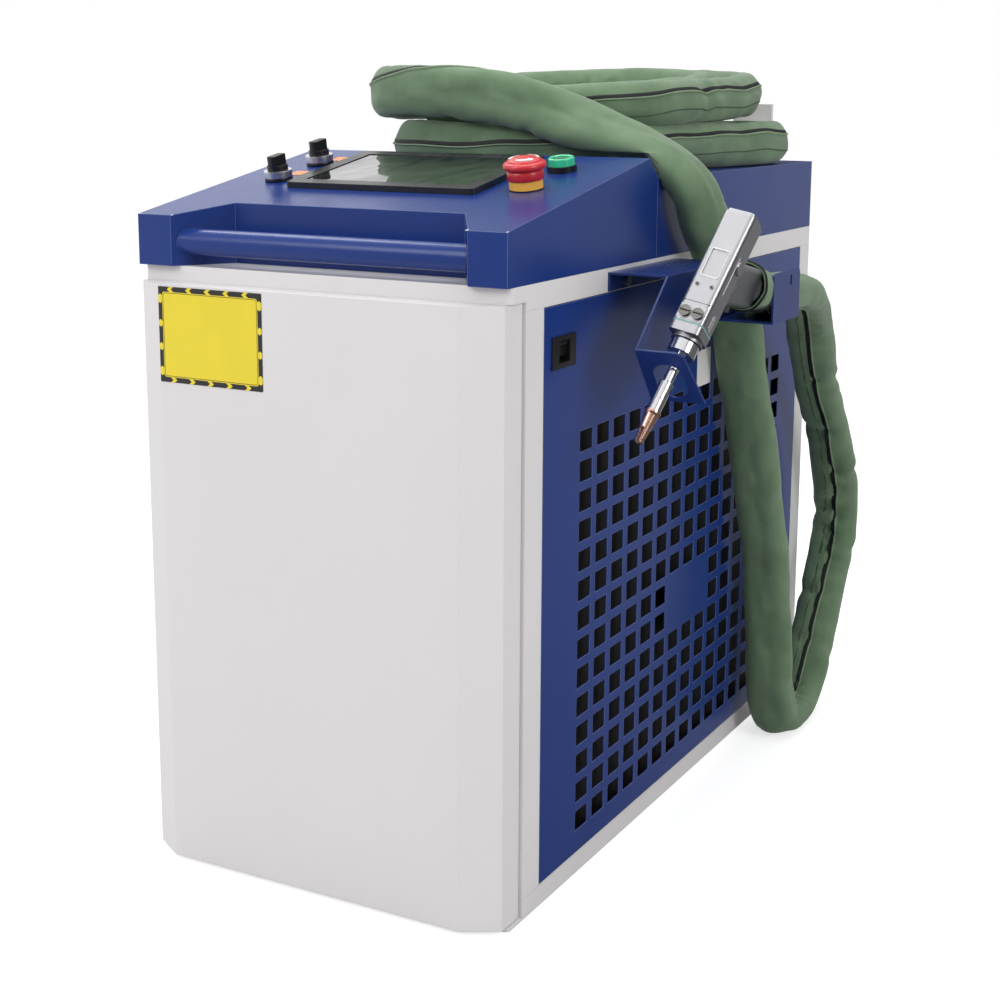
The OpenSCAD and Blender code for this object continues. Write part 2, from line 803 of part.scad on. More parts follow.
cheek_x = half_w + reach;
fold_y = holder_y - cheek_run;
fold_z = holder_z - cheek_drop;
plate_end_y = fold_y + plate_l * cos(plate_a);
plate_end_z = fold_z - plate_l * sin(plate_a);
hole_v = 38;
hole_x = 26.5;
plate_r = 10;
ear_r = 5;
ear_x = cheek_x + channel_w;
slot_w = 6;
slot_h = 13;
slot_y = 50;
slot_z = 39;
screw_d = 6;
screw_first = 39;
screw_step = 100;
screw_z = 11.5;

module cheek_outline() {
    polygon([[holder_y, holder_z], [fold_y, fold_z], [plate_end_y, plate_end_z],
        [plate_end_y + flange_h, plate_end_z], [ear_y, shelf_z - holder_t],
        [ear_y + ear_l, shelf_z - holder_t], [ear_y + ear_l, holder_z]]);
}

module plate_outline() {
    difference() {
        union() {
            polygon([[0, 0], [plate_w0 - plate_r, 0], [plate_w0, plate_r], [plate_w1, plate_l],
                [0, plate_l]]);
            translate([plate_w0 - plate_r, plate_r]) circle(plate_r);
        }
        translate([hole_x, hole_v]) rounded(hole_w, hole_l, hole_w / 2 - fit_gap);
    }
}

module gun_holder() color(blue) stand() {
    difference() {
        block([half_w, holder_y, holder_z - flange_h], [holder_t, flange_l, flange_h]);
        for (i = [0, 1])
            translate([0, holder_y + screw_first + i * screw_step, holder_z - screw_z])
                rod_x(screw_d, half_w - cut, half_w + holder_t + cut);
    }
    block([half_w, holder_y, holder_z - holder_t], [reach, flange_l, holder_t]);
    translate([cheek_x - holder_t, 0, 0]) rotate([90, 0, 90])
        linear_extrude(holder_t) cheek_outline();
    translate([cheek_x - holder_t, fold_y, fold_z]) rotate([-plate_a, 0, 0])
        linear_extrude(holder_t) plate_outline();
    block([cheek_x - holder_t, ear_y, shelf_z - holder_t],
        [channel_w + 2 * holder_t, ear_l, holder_t]);
    translate([ear_x, ear_y + ear_l / 2, shelf_z - holder_t + ear_h / 2]) rotate([90, 0, 90])
        linear_extrude(holder_t) difference() {
            union() {
                rounded(ear_l, ear_h, ear_r);
                translate([-ear_l / 2, -ear_h / 2]) square([ear_l, ear_r]);
            }
            translate([slot_y - ear_l / 2, slot_z - ear_h / 2])
                rounded(slot_w, slot_h, slot_w / 2 - run_gap);
        }
}

screw_head_d = 10;
screw_head_h = 3;

module holder_screws() color("#b9bcc2") stand() {
    for (i = [0, 1])
        translate([0, holder_y + screw_first + i * screw_step, holder_z - screw_z]) {
            rod_x(screw_head_d, half_w + holder_t, half_w + holder_t + screw_head_h);
            rod_x(screw_d - 2 * fit_gap, half_w, half_w + holder_t + cut);
        }
}

// Place and pose of the gun, measured from the nozzle tip along its axis
tip_out = 76;
tip_back = 93.2;
tip_drop = 139.8;
tip_x = half_w + tip_out;
tip_y = holder_y - tip_back;
tip_z = holder_z - tip_drop;
gun_tilt = 34.6;
gun_yaw = 11;
gun_roll = 2.7;
axis_shift = -2.5;

module gun_at(s) {
    translate([tip_x, tip_y, tip_z]) rotate([-gun_tilt, 0, 0]) rotate([0, gun_yaw, 0])
        rotate([0, 0, gun_roll]) translate([0, 0, s]) children();
}

nozzle_lip = 2;
stem_s = nozzle_l + scale_l;
fork_w = 3.4;

module copper_nozzle() color("#c07a5c") stand() gun_at(0) difference() {
    rotate_extrude() polygon([[gas_d / 2, 0], [tip_d / 2, 0],
        [nozzle_d / 2 - run_gap, nozzle_l - 2 * nozzle_lip],
        [nozzle_d / 2 + nozzle_lip / 2, nozzle_l - nozzle_lip],
        [nozzle_d / 2 + nozzle_lip / 2, nozzle_l], [gas_d / 2, nozzle_l]]);
    block([-fork_w / 2, -nozzle_d, -cut], [fork_w, 2 * nozzle_d, fork_l - fork_w / 2 + cut]);
    translate([0, 0, fork_l - fork_w / 2]) rod_y(fork_w, -nozzle_d, nozzle_d);
}

tube_end = head_s + nozzle_lip;

module scale_tube() color("#c4c6ca") stand() gun_at(nozzle_l) rotate_extrude()
    polygon([[gas_d / 2, 0], [nozzle_d / 2, 0], [nozzle_d / 2, scale_l - cut],
        [nozzle_d / 2 - cut, scale_l], [stem_d / 2, scale_l], [stem_d / 2, tube_end - nozzle_l],
        [gas_d / 2, tube_end - nozzle_l]]);

module clamp_ring() color("#d0d2d6") stand() gun_at(ring_s) rotate_extrude()
    polygon([[stem_d / 2 + run_gap, 0], [ring_d / 2 - cut, 0], [ring_d / 2, cut],
        [ring_d / 2, ring_l - cut], [ring_d / 2 - cut, ring_l], [stem_d / 2 + run_gap, ring_l]]);

module gun_section(h) {
    linear_extrude(h) translate([0, axis_shift]) rounded(gun_w, gun_d, gun_r);
}

collar_d = 30;

module gun_head() color("#cbccd0") stand() gun_at(0) difference() {
    union() {
        translate([0, 0, ring_s + ring_l + fit_gap / 2])
            cylinder(d = collar_d, h = head_s - ring_s - ring_l);
        translate([0, 0, head_s]) gun_section(head_l);
    }
    translate([0, 0, ring_s]) cylinder(d = stem_d + 2 * run_gap, h = gun_l);
}

module gun_gasket() color("#4fa79b") stand() gun_at(head_s + head_l) difference() {
    linear_extrude(gasket_t) translate([0, axis_shift]) rounded(gun_w + fit_gap, gun_d + fit_gap, gun_r);
    translate([0, 0, -cut]) cylinder(d = stem_d + 2 * cut, h = gasket_t + 2 * cut);
}

body_s = head_s + head_l + gasket_t;
face_y = axis_shift - gun_d / 2;
back_y = axis_shift + gun_d / 2;
window_s0 = 165;
window_s1 = 194.5;
window_w = 18;
window_t = 1.2;
end_cut = 3;
beam_d = 12;
button_s = 189;
trigger_s = 152;

module gun_body() color("#cbccd0") stand() gun_at(0) difference() {
    union() {
        translate([0, 0, body_s]) gun_section(gun_l - body_s - end_cut);
        translate([0, 0, gun_l - end_cut - fit_gap]) linear_extrude(end_cut + fit_gap)
            translate([0, axis_shift]) rounded(gun_w - end_cut, gun_d - end_cut, gun_r - cut);
    }
    translate([0, 0, body_s - cut]) cylinder(d = beam_d, h = window_s0 - body_s);
    block([-drawer_w / 2 - run_gap, face_y - cut, drawer_s - drawer_h / 2 - run_gap],
        [drawer_w + 2 * run_gap, drawer_d + cut + fit_gap, drawer_h + 2 * run_gap]);
    block([-window_w / 2, face_y - cut, window_s0],
        [window_w, window_t + cut, window_s1 - window_s0]);
    translate([0, button_y, button_s])
        rod_x(side_button_d + 2 * run_gap, gun_w / 2 - button_sink, gun_w / 2 + cut);
}

button_y = 2;
button_sink = 4;
button_travel = 1.2;

module gun_window() color("#9a9ca2") stand() gun_at(0)
    block([fit_gap - window_w / 2, face_y + window_t / 2, window_s0 + fit_gap],
        [window_w - 2 * fit_gap, window_t / 2, window_s1 - window_s0 - 2 * fit_gap]);

module lens_drawer() color("#c2c4c8") stand() gun_at(0) difference() {
    block([-drawer_w / 2, face_y, drawer_s - drawer_h / 2], [drawer_w, drawer_d, drawer_h]);
    translate([0, 0, drawer_s - drawer_h]) cylinder(d = beam_d, h = 2 * drawer_h);
    translate([0, 0, drawer_s - glass_t]) cylinder(d = lens_d, h = 2 * glass_t);
    for (x = [-1, 1])
        translate([x * lock_step / 2, 0, drawer_s])
            rod_y(lock_pin_d + 2 * run_gap, face_y - cut, face_y + lock_pin_l + fit_gap);
}

lens_d = 16;
lock_pin_d = 3;
lock_pin_l = 3;
lock_head_h = 2.4;
lock_slot_w = 1.6;
lock_slot_d = 1.2;

module lens_glass() color("#bfe0e4") stand() gun_at(drawer_s - glass_t)
    cylinder(d = lens_d - 2 * run_gap, h = 2 * glass_t);

module lock_screw(side) {
    gun_at(drawer_s) translate([side * lock_step / 2, 0, 0]) {
        rod_y(lock_pin_d, face_y - run_gap, face_y + lock_pin_l);
        difference() {
            rod_y(lock_d, face_y - lock_head_h, face_y - run_gap);
            block([-lock_d, face_y - lock_head_h - cut, -lock_slot_w / 2],
                [2 * lock_d, lock_slot_d + cut, lock_slot_w]);
        }
    }
}

module left_lock_screw() color("#a9abb0") stand() lock_screw(-1);
module right_lock_screw() color("#a9abb0") stand() lock_screw(1);

grip_s = 177;
grip_side = 9;
socket_d = 37;
socket_l = 14;
trigger_w = 12;
trigger_h = 14;
trigger_l = 16;
trigger_pin_d = 3;

module grip_at(z) {
    gun_at(grip_s) translate([0, back_y, 0]) rotate([0, 0, grip_side])
        rotate([grip_back - 90, 0, 0]) translate([0, 0, z]) children();
}

module gun_grip() color("#b4b6bb") stand() difference() {
    union() {
        grip_at(grip_start) linear_extrude(grip_l - socket_l - grip_start)
            rounded(grip_w, grip_d, gun_r);
        grip_at(grip_l - socket_l - fit_gap) cylinder(d = socket_d, h = socket_l + fit_gap);
    }
    gun_at(grip_s - grip_d) block([-gun_w, axis_shift - gun_d, -gun_l / 2],
        [2 * gun_w, back_y + gun_d - axis_shift + fit_gap / 2, gun_l]);
    trigger_at() block([-trigger_w / 2 - fit_gap, -trigger_gap, -trigger_l / 2 - trigger_gap],
        [trigger_w + 2 * fit_gap, trigger_h, trigger_l + 2 * trigger_gap]);
    trigger_at() translate([0, trigger_pin_y, trigger_pin_z])
        rod_x(trigger_pin_d + 2 * run_gap, -trigger_w / 2 - pin_seat, trigger_w / 2 + pin_seat);
}

grip_start = -12;
trigger_z = 28;
trigger_gap = 1;
trigger_pin_y = 5;
trigger_pin_z = 5;
trigger_proud = 7;

// Trigger place on the grip's nozzle side, with its own y pointing into the grip
module trigger_at() {
    grip_at(trigger_z) translate([0, grip_d / 2, 0]) mirror([0, 1, 0]) children();
}

module gun_trigger() color("#3a3b40") stand() trigger_at() {
    block([-trigger_w / 2, -trigger_proud, -trigger_l / 2],
        [trigger_w, trigger_proud + trigger_pin_y + trigger_pin_d / 2, trigger_l]);
    translate([0, trigger_pin_y, trigger_pin_z])
        rod_x(trigger_pin_d, -trigger_w / 2 - pin_seat + fit_gap, trigger_w / 2 + pin_seat - fit_gap);
}

module side_button() color("#c9cbd0") stand() gun_at(button_s) translate([0, button_y, 0])
    rod_x(side_button_d, gun_w / 2 - button_sink + button_travel + fit_gap, gun_w / 2 + button_travel + fit_gap);

outlet_w = 50;
outlet_l = 47;
outlet_y0 = case_l - outlet_l;
outlet_h = 38.6;
outlet_back_h = 69;
outlet_back_t = 6;

module hose_outlet() color(white) stand() translate([coil_path[0][0], 0, body_h + deck_h]) {
    block([0, outlet_y0, 0], [outlet_w, outlet_l, outlet_h]);
    block([0, case_l - outlet_back_t, 0], [outlet_w, outlet_back_t, outlet_back_h]);
}

// Coil on the rear deck: piled loops that spiral in and out again in two layers
coil_in = 241;
coil_y = case_l - coil_in;
coil_z = body_h + deck_h + hose_d / 2 + fit_gap;
coil_layer_gap = 1;
coil_rise = hose_d + coil_layer_gap;
coil_start_a = 74.7;
coil_loops = 4;
coil_turns = (180 + 360 * coil_loops - coil_start_a) / 360;
square_n = 4;
round_n = 2;

function smooth(k) = k * k * (3 - 2 * k);
function clamp01(k) = max(0, min(1, k));
function coil_point(t) =
    let (s = min(t, coil_turns - t),
        n = square_n - (square_n - round_n) * s / (coil_turns / 2),
        a = coil_a - coil_step_a * s,
        b = coil_b - coil_step_b * s,
        angle = coil_start_a + 360 * t,
        r = pow(pow(abs(cos(angle)) / a, n) + pow(abs(sin(angle)) / b, n), -1 / n),
        k = smooth(clamp01((t - coil_turns / 2) / 0.5 + 0.5)))
    [r * cos(angle), coil_y + r * sin(angle), coil_z + coil_rise * k];

coil_count = round(coil_turns * coil_rings);
coil_first = coil_point(0);
coil_last = coil_point(coil_turns);
coil_path = concat([[coil_first[0] + hose_d, coil_first[1], coil_first[2]]],
    [for (i = [0:coil_count]) coil_point(coil_turns * i / coil_count)],
    [[coil_last[0], coil_last[1] - hose_d, coil_last[2]]]);

// Free stretch of the hose, from the coil's end to the gun's grip
run_route = [[-178, 473, 732], [-176, 440, 741], [-166, 405, 755], [-142, 373, 766],
    [-104, 353, 770], [-55, 345, 770], [0, 341, 768], [52, 337, 762], [100, 335, 750],
    [142, 335, 735], [178, 336, 719], [208, 338, 700], [224, 345, 670], [228, 362, 638],
    [228, 388, 608], [228, 416, 575], [228, 442, 538], [228, 464, 495], [228, 490, 430],
    [229, 520, 365], [231, 545, 300], [235, 566, 240], [240, 581, 180], [245, 588, 130],
    [249, 590, 88], [250, 602, 52], [250, 628, 29], [250, 658, 22], [250, 688, 31],
    [250, 712, 58], [250, 735, 90], [250, 762, 130], [250, 790, 172], [250, 806, 217],
    [250, 797, 263], [250, 777, 300], [250, 752, 337], [250, 724, 371], [251, 695, 403],
    [254, 665, 437], [260, 636, 468], [267, 604, 499], [275, 571, 525], [283, 536, 543],
    [288, 500, 551], [290, 465, 552.5], [290, 430, 552.5], [290, 398, 553], [291.5, 370, 556.5],
    [294.5, 346, 562], [297.5, 325, 567]];
run_first = coil_path[len(coil_path) - 1];
run_sides = 10;
coil_sides = 6;

function unit(v) = v / norm(v);
// Side directions carried along the path without twisting
function carried(t, side, i = 0) = i >= len(t) ? [] :
    let (s = unit(side - (side * t[i]) * t[i])) concat([s], carried(t, s, i + 1));
function ring(c, s, u, r, sides, turn) = [for (k = [0:sides - 1])
    c + r * (cos(360 * k / sides + turn) * s + sin(360 * k / sides + turn) * u)];
// Closed tube swept along a path
module swept_tube(path, t, r, sides, turn) {
    s = carried(t, [0, 0, 1]);
    n = len(path);
    points = [for (i = [0:n - 1]) each ring(path[i], s[i], cross(t[i], s[i]), r, sides, turn)];
    walls = [for (i = [0:n - 2], k = [0:sides - 1])
        let (m = (k + 1) % sides, a = i * sides)
        each [[a + k, a + sides + k, a + sides + m], [a + k, a + sides + m, a + m]]];
    first = [for (k = [1:sides - 2]) [0, k, k + 1]];
    last = [for (k = [1:sides - 2]) [n * sides - sides, n * sides - sides + k + 1,
        n * sides - sides + k]];
    polyhedron(points = points, faces = concat(first, walls, last), convexity = 10);
}

coil_tangents = concat([[-1, 0, 0]], [for (i = [1:len(coil_path) - 2])
    unit(coil_path[i + 1] - coil_path[i - 1])], [[0, -1, 0]]);

module hose_coil() color("#6f8f68") stand()
    swept_tube(coil_path, coil_tangents, hose_d / 2, coil_sides, 0);

function turn_x(v, a) = [v[0], v[1] * cos(a) - v[2] * sin(a), v[1] * sin(a) + v[2] * cos(a)];
function turn_y(v, a) = [v[0] * cos(a) + v[2] * sin(a), v[1], v[2] * cos(a) - v[0] * sin(a)];
function turn_z(v, a) = [v[0] * cos(a) - v[1] * sin(a), v[0] * sin(a) + v[1] * cos(a), v[2]];
function from_gun(v) = [tip_x, tip_y, tip_z]
    + turn_x(turn_y(turn_z(v, gun_roll), gun_yaw), -gun_tilt);
function from_grip(z) = from_gun([0, back_y, grip_s]
    + turn_z(turn_x([0, 0, z], grip_back - 90), grip_side));

grip_end = from_grip(grip_l);
run_path = concat([run_first], run_route, [grip_end]);
run_tangents = concat([[0, -1, 0]], [for (i = [1:len(run_path) - 2])
    unit(run_path[i + 1] - run_path[i - 1])], [unit(from_grip(0) - from_grip(grip_l))]);
echo(grip_end = grip_end);

module hose_run() color("#6f8f68") stand()
    swept_tube(run_path, run_tangents, hose_d / 2, run_sides, 0);

// Least gap between loops of the coil, measured on its points
function gaps(p, skip) = [for (i = [0:2:len(p) - 1], j = [i + skip:len(p) - 1])
    norm(p[i] - p[j])];
echo(coil_gap = min(gaps(coil_path, coil_rings / 2)) - hose_d);

mesh_t = 2;
core_x = half_w - panel_rim - mesh_t - fit_gap - core_t;
core_y = vent_y;
core_l = (vent_cols - 1) * vent_step_y + vent_w;
fan_d = core_l / 2 - fan_room;
core_top = deck_z - fit_gap;
fin_step = 12;
fin_t = 1;
tank_t = 14;

module filter_mesh() color("#2a2620") stand()
    block([half_w - panel_rim - mesh_t, panel_y + panel_rim, base_h],
        [mesh_t, panel_l - 2 * panel_rim, core_top - base_h]);

module condenser() color("#3a3a3c") stand() {
    for (y = [core_y, core_y + core_l - tank_t])
        block([core_x, y, base_h], [core_t, tank_t, core_top - base_h]);
    for (z = [base_h, core_top - tank_t])
        block([core_x, core_y, z], [core_t, core_l, tank_t]);
    for (y = [core_y + tank_t:fin_step:core_y + core_l - tank_t - fin_t])
        block([core_x + fin_t, y, base_h + tank_t - fin_t],
            [core_t - 2 * fin_t, fin_t, core_top - base_h - 2 * tank_t + 2 * fin_t]);
}

shroud_t = 3;
shroud_x = core_x - fit_gap - shroud_t;
fan_z = base_h + (core_top - base_h) / 2;
fan_gap = 9;
hub_d = 60;
hub_t = 24;
motor_d = 50;
strut_w = 16;
strut_t = 4;
strut_room = 12;
strut_x = shroud_x - hub_t - strut_room;
axle_d = 8;

module fan_place(i) {
    translate([0, core_y + core_l * (1 + 2 * i) / 4, fan_z]) children();
}

module fan_shroud() color("#4a4c50") stand() {
    difference() {
        block([shroud_x, core_y, base_h], [shroud_t, core_l, core_top - base_h]);
        for (i = [0, 1]) fan_place(i) rod_x(fan_d + 2 * fan_gap, shroud_x - cut, core_x);
    }
    for (i = [0, 1]) fan_place(i) {
        difference() {
            union() {
                translate([0, 0, -fan_d / 2 - 2 * fan_gap])
                    block([strut_x - strut_t, -strut_w / 2, 0], [strut_t, strut_w, fan_d + 4 * fan_gap]);
                for (z = [-fan_d / 2 - 2 * fan_gap, fan_d / 2 + 2 * fan_gap - strut_t])
                    block([strut_x - strut_t, -strut_w / 2, z],
                        [shroud_x - strut_x + strut_t, strut_w, strut_t]);
            }
        }
        rod_x(axle_d, strut_x - cut, strut_x + hub_t);
    }
}

blade_a = 28;
blade_sink = 2;

module fan_rotor() {
    translate([strut_x + fit_gap, 0, 0]) difference() {
        union() {
            rod_x(hub_d, 0, hub_t);
            for (k = [0:fan_blades - 1]) rotate([360 * k / fan_blades, 0, 0])
                translate([hub_t / 2, 0, hub_d / 2 - blade_sink]) rotate([0, 0, blade_a])
                    block([-fin_t, -hub_t / 2, 0], [2 * fin_t, hub_t, (fan_d - hub_d) / 2 - blade_sink]);
        }
        rod_x(axle_d + 2 * run_gap, -cut, hub_t + cut);
    }
}

module front_fan() color("#222326") stand() fan_place(0) fan_rotor();
module rear_fan() color("#222326") stand() fan_place(1) fan_rotor();

comp_d = 130;
comp_h = 190;
comp_in = 130;
comp_x = comp_in - half_w;
comp_y = 190;
foot_h = 12;
foot_w = 150;

module compressor() color("#1f2023") stand() translate([comp_x, comp_y, base_h]) {
    block([-foot_w / 2, -foot_w / 2, 0], [foot_w, foot_w, foot_h]);
    translate([0, 0, foot_h]) rotate_extrude() polygon(concat([[0, 0], [comp_d / 2, 0]],
        [for (a = [0:15:90]) [comp_d / 2 * cos(a), comp_h - comp_d / 4 + comp_d / 4 * sin(a)]]));
}

water_w = 150;
water_h = 250;
water_in = 30;
water_back = 60;
water_x = water_in - half_w;
water_y = 500;
water_l = case_l - water_back - water_y;

module water_tank() color("#d8dde0") stand() translate([water_x, water_y, base_h]) {
    translate([water_w / 2, water_l / 2, 0]) linear_extrude(water_h) rounded(water_w, water_l, gun_r);
    translate([water_w / 3, water_l / 2, water_h - cut]) cylinder(d = collar_d, h = foot_h);
}

pump_d = 90;
pump_l = 120;
pump_y = 350;

module water_pump() color("#2a4f7c") stand() translate([comp_x, pump_y, base_h]) {
    block([-pump_d / 2, 0, 0], [pump_d, pump_l, foot_h]);
    translate([0, 0, foot_h + pump_d / 2 - cut]) rod_y(pump_d, 0, pump_l);
}

door_room = 1.3;
shelf_half = half_w - panel_rim - door_room;
shelf_fold = 20;

module equipment_shelf() color(white) stand() {
    block([-shelf_half, inner_y, deck_z], [2 * shelf_half, inner_l, frame_t]);
    for (y = [inner_y, inner_y + inner_l - frame_t])
        block([-shelf_half, y, deck_z], [2 * shelf_half, frame_t, shelf_fold]);
}

supply_w = 240;
supply_l = 110;
supply_h = 60;
supply_back = 60;
supply_y = case_l - supply_back - supply_l;
laser_in = 100;
laser_w = case_w - laser_in;
laser_h = 80;
laser_y = 160;
laser_gap = 40;
laser_l = supply_y - laser_gap - laser_y;
laser_r = 8;
laser_fin_step = laser_w / 10;
laser_fin_t = 4;
laser_fin_h = 7;

module laser_source() color("#2b2d33") stand() {
    translate([0, laser_y + laser_l / 2, deck_z + frame_t]) {
        linear_extrude(laser_h) rounded(laser_w, laser_l, laser_r);
        for (k = [-4:4]) translate([0, 0, laser_h - cut])
            block([k * laser_fin_step - laser_fin_t / 2, -laser_l / 3, 0],
                [laser_fin_t, laser_l * 2 / 3, laser_fin_h]);
    }
}

module power_supply() color("#a8abb0") stand()
    block([-supply_w / 2, supply_y, deck_z + frame_t], [supply_w, supply_l, supply_h]);

cap_d = 44;
cap_h = 16;
cap_stem_l = 18;
cap_ribs = 12;
cap_rib = 3;
cap_rib_sink = 2;

module filler_cap() color("#1c4fa0") stand() translate([cap_x, case_l, cap_z]) {
    rod_y(rear_fit_d - 2 * run_gap, -cap_stem_l, fit_gap + cut);
    rotate([-90, 0, 0]) translate([0, 0, fit_gap]) linear_extrude(cap_h) {
        circle(d = cap_d);
        for (k = [0:cap_ribs - 1]) rotate(360 * k / cap_ribs)
            translate([cap_d / 2 - cap_rib_sink, -cap_rib / 2]) square(cap_rib);
    }
}

switch_d = 40;
switch_t = 8;
switch_lever_w = 10;
switch_lever_h = 14;

module main_switch() color("#a32a22") stand() translate([switch_x, case_l, cap_z]) {
    rod_y(rear_fit_d - 2 * run_gap, -cap_stem_l, fit_gap + cut);
    rod_y(switch_d, fit_gap, fit_gap + switch_t);
    block([-switch_lever_w / 2, switch_t, -switch_d / 2],
        [switch_lever_w, switch_lever_h, switch_d]);
}

base_frame();
floor_plate();
front_posts();
rear_posts();
top_frame();
front_cover();
right_panel();
left_panel();
rear_panel();
right_latch_case();
right_latch_paddle();
left_latch_case();
left_latch_paddle();
console_shell();
rear_deck();
handle_bar();
screen_bezel();
screen_glass();
estop_base();
estop_plunger();
estop_cap();
start_ring();
start_button();
front_selector_base();
rear_selector_base();
front_selector_knob();
rear_selector_knob();
gun_holder();
holder_screws();
copper_nozzle();
scale_tube();
clamp_ring();
gun_head();
gun_gasket();
gun_body();
gun_window();
lens_drawer();
lens_glass();
left_lock_screw();
right_lock_screw();
gun_grip();
gun_trigger();
side_button();
hose_outlet();
hose_coil();
hose_run();
filter_mesh();
condenser();
fan_shroud();
front_fan();
rear_fan();
compressor();
water_tank();
water_pump();
equipment_shelf();
laser_source();
power_supply();
filler_cap();
main_switch();
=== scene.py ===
import math
import bpy
import numpy as np
from mathutils import Matrix, Vector, noise


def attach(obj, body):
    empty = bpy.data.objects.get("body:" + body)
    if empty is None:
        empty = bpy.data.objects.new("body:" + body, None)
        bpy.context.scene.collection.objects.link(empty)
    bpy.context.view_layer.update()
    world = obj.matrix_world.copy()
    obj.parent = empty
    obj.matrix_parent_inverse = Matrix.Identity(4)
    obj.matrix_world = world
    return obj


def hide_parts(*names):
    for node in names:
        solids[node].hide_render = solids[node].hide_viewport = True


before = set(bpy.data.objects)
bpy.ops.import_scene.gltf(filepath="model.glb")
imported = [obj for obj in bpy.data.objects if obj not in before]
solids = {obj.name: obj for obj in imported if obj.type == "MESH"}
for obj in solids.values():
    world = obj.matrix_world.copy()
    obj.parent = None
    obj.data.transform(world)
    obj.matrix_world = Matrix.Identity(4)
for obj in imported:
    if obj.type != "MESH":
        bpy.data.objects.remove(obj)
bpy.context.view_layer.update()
print("cabinet loaded with", len(solids), "solids")

# camera, fitted to the photo's edges
camera = {
    "place": (0.8768, -1.6414, 0.7595),
    "right": (0.87931, 0.47622, 0.00577),
    "up": (-0.09386, 0.16139, 0.98242),
    "lens": 60.72,
    "sensor": 36.0,
    "shift": (-0.0104, -0.092),
    "clip": (0.05, 60),
}


def setCamera(settings):
    data = bpy.data.cameras.new("photoCamera")
    data.lens = settings["lens"]
    data.sensor_width = settings["sensor"]
    data.shift_x, data.shift_y = settings["shift"]
    data.clip_start, data.clip_end = settings["clip"]
    cam = bpy.data.objects.new("photoCamera", data)
    bpy.context.scene.collection.objects.link(cam)
    right, up = Vector(settings["right"]), Vector(settings["up"])
    turn = Matrix((right, up, right.cross(up))).transposed().to_4x4()
    cam.matrix_world = Matrix.Translation(settings["place"]) @ turn
    bpy.context.scene.camera = cam


setCamera(camera)
print("camera set")


# finishes
def srgb(r, g, b):
    def one(v):
        v /= 255
        return v / 12.92 if v <= 0.04045 else ((v + 0.055) / 1.055) ** 2.4  # the standard curve
    return (one(r), one(g), one(b), 1.0)


# values that the finishes share
shading = {
    "cloudBand": (0.3, 0.7),  # the part of the noise over which clouds go from dark to pale
    "edgeBand": (0.80, 0.97),  # cosine of a rounded edge's lean: painted pale highlight, partly edge wear, below it, full coat above
    "lineBand": (0.4, 0.7), "lineMost": 0.35, "lineTint": 0.72,  # drawn lines in metal
    "dustFiner": 3, "peelHigh": 0.0004, "grainHigh": 0.0002, "edgeSamples": 4,
    # smoother and rougher than the finish's own roughness
    "coatRough": (0.04, 0.05), "metalRough": (0.05, 0.08), "plasticRough": (0.05, 0.07),
}


# short calls to add nodes to a tree and join them
class Nodes:
    def __init__(self, tree):
        self.tree = tree
        self.coords = self.add("ShaderNodeTexCoord").outputs
        self.place = self.coords["Object"]

    def give(self, socket, value):
        if isinstance(value, bpy.types.NodeSocket):
            self.tree.links.new(value, socket)
        else:
            socket.default_value = value

    def add(self, kind, values=None, **settings):
        node = self.tree.nodes.new(kind)
        for key, value in settings.items():
            setattr(node, key, value)
        for key, value in (values or {}).items():
            self.give(node.inputs[key], value)
        return node

    def scaled(self, scale, place=None):
        node = self.add("ShaderNodeMapping", {"Vector": place or self.place, "Scale": scale})
        return node.outputs["Vector"]

    def noise(self, scale, detail=2.0, place=None, rough=0.5):
        node = self.add("ShaderNodeTexNoise", {
            "Vector": place or self.place, "Scale": scale, "Detail": detail, "Roughness": rough})
        return node.outputs["Fac"]

    def spread(self, value, low, high, fromLow=0.0, fromHigh=1.0, curve="LINEAR"):
        node = self.add("ShaderNodeMapRange", {
            "Value": value, "From Min": fromLow, "From Max": fromHigh, "To Min": low, "To Max": high},
            interpolation_type=curve)
        return node.outputs["Result"]

    def mixColour(self, factor, a, b):
        # sockets 0, 6 and 7 are the factor and the two colours, and output 2 is their mix
        return self.add("ShaderNodeMix", {0: factor, 6: a, 7: b}, data_type="RGBA").outputs[2]

    def math(self, op, a, b=0.5):
        return self.add("ShaderNodeMath", {0: a, 1: b}, operation=op).outputs[0]

    def bump(self, height, strength, distance, under=None):
        node = self.add("ShaderNodeBump", {"Height": height, "Strength": strength, "Distance": distance})
        if under:
            self.give(node.inputs["Normal"], under)
        return node.outputs["Normal"]

    def tint(self, colour, k):
        return tuple(min(1.0, c * k) for c in colour[:3]) + (1.0,)


# a new material, and what its kinds have in common
class Finish(Nodes):
    def __init__(self, name):
        self.mat = bpy.data.materials.new(name)
        self.mat.use_nodes = True
        super().__init__(self.mat.node_tree)
        self.shader = next(n for n in self.tree.nodes if n.type == "BSDF_PRINCIPLED")

    def clouded(self, cloud, look):
        darker = self.tint(look["colour"], 1 - look["vary"])
        paler = self.tint(look["colour"], 1 + look["vary"])
        return self.mixColour(self.spread(cloud, 0, 1, *shading["cloudBand"]), darker, paler)

    def rougher(self, value, look, kind, *band):
        less, more = shading[kind]
        return self.spread(value, look["rough"] - less, look["rough"] + more, *band)

    def roundedEdges(self, look):
        node = self.add("ShaderNodeBevel", {"Radius": look["edge"]}, samples=shading["edgeSamples"])
        return node.outputs["Normal"]

    def surface(self, values):
        for key, value in values.items():
            self.give(self.shader.inputs[key], value)
        return self.mat
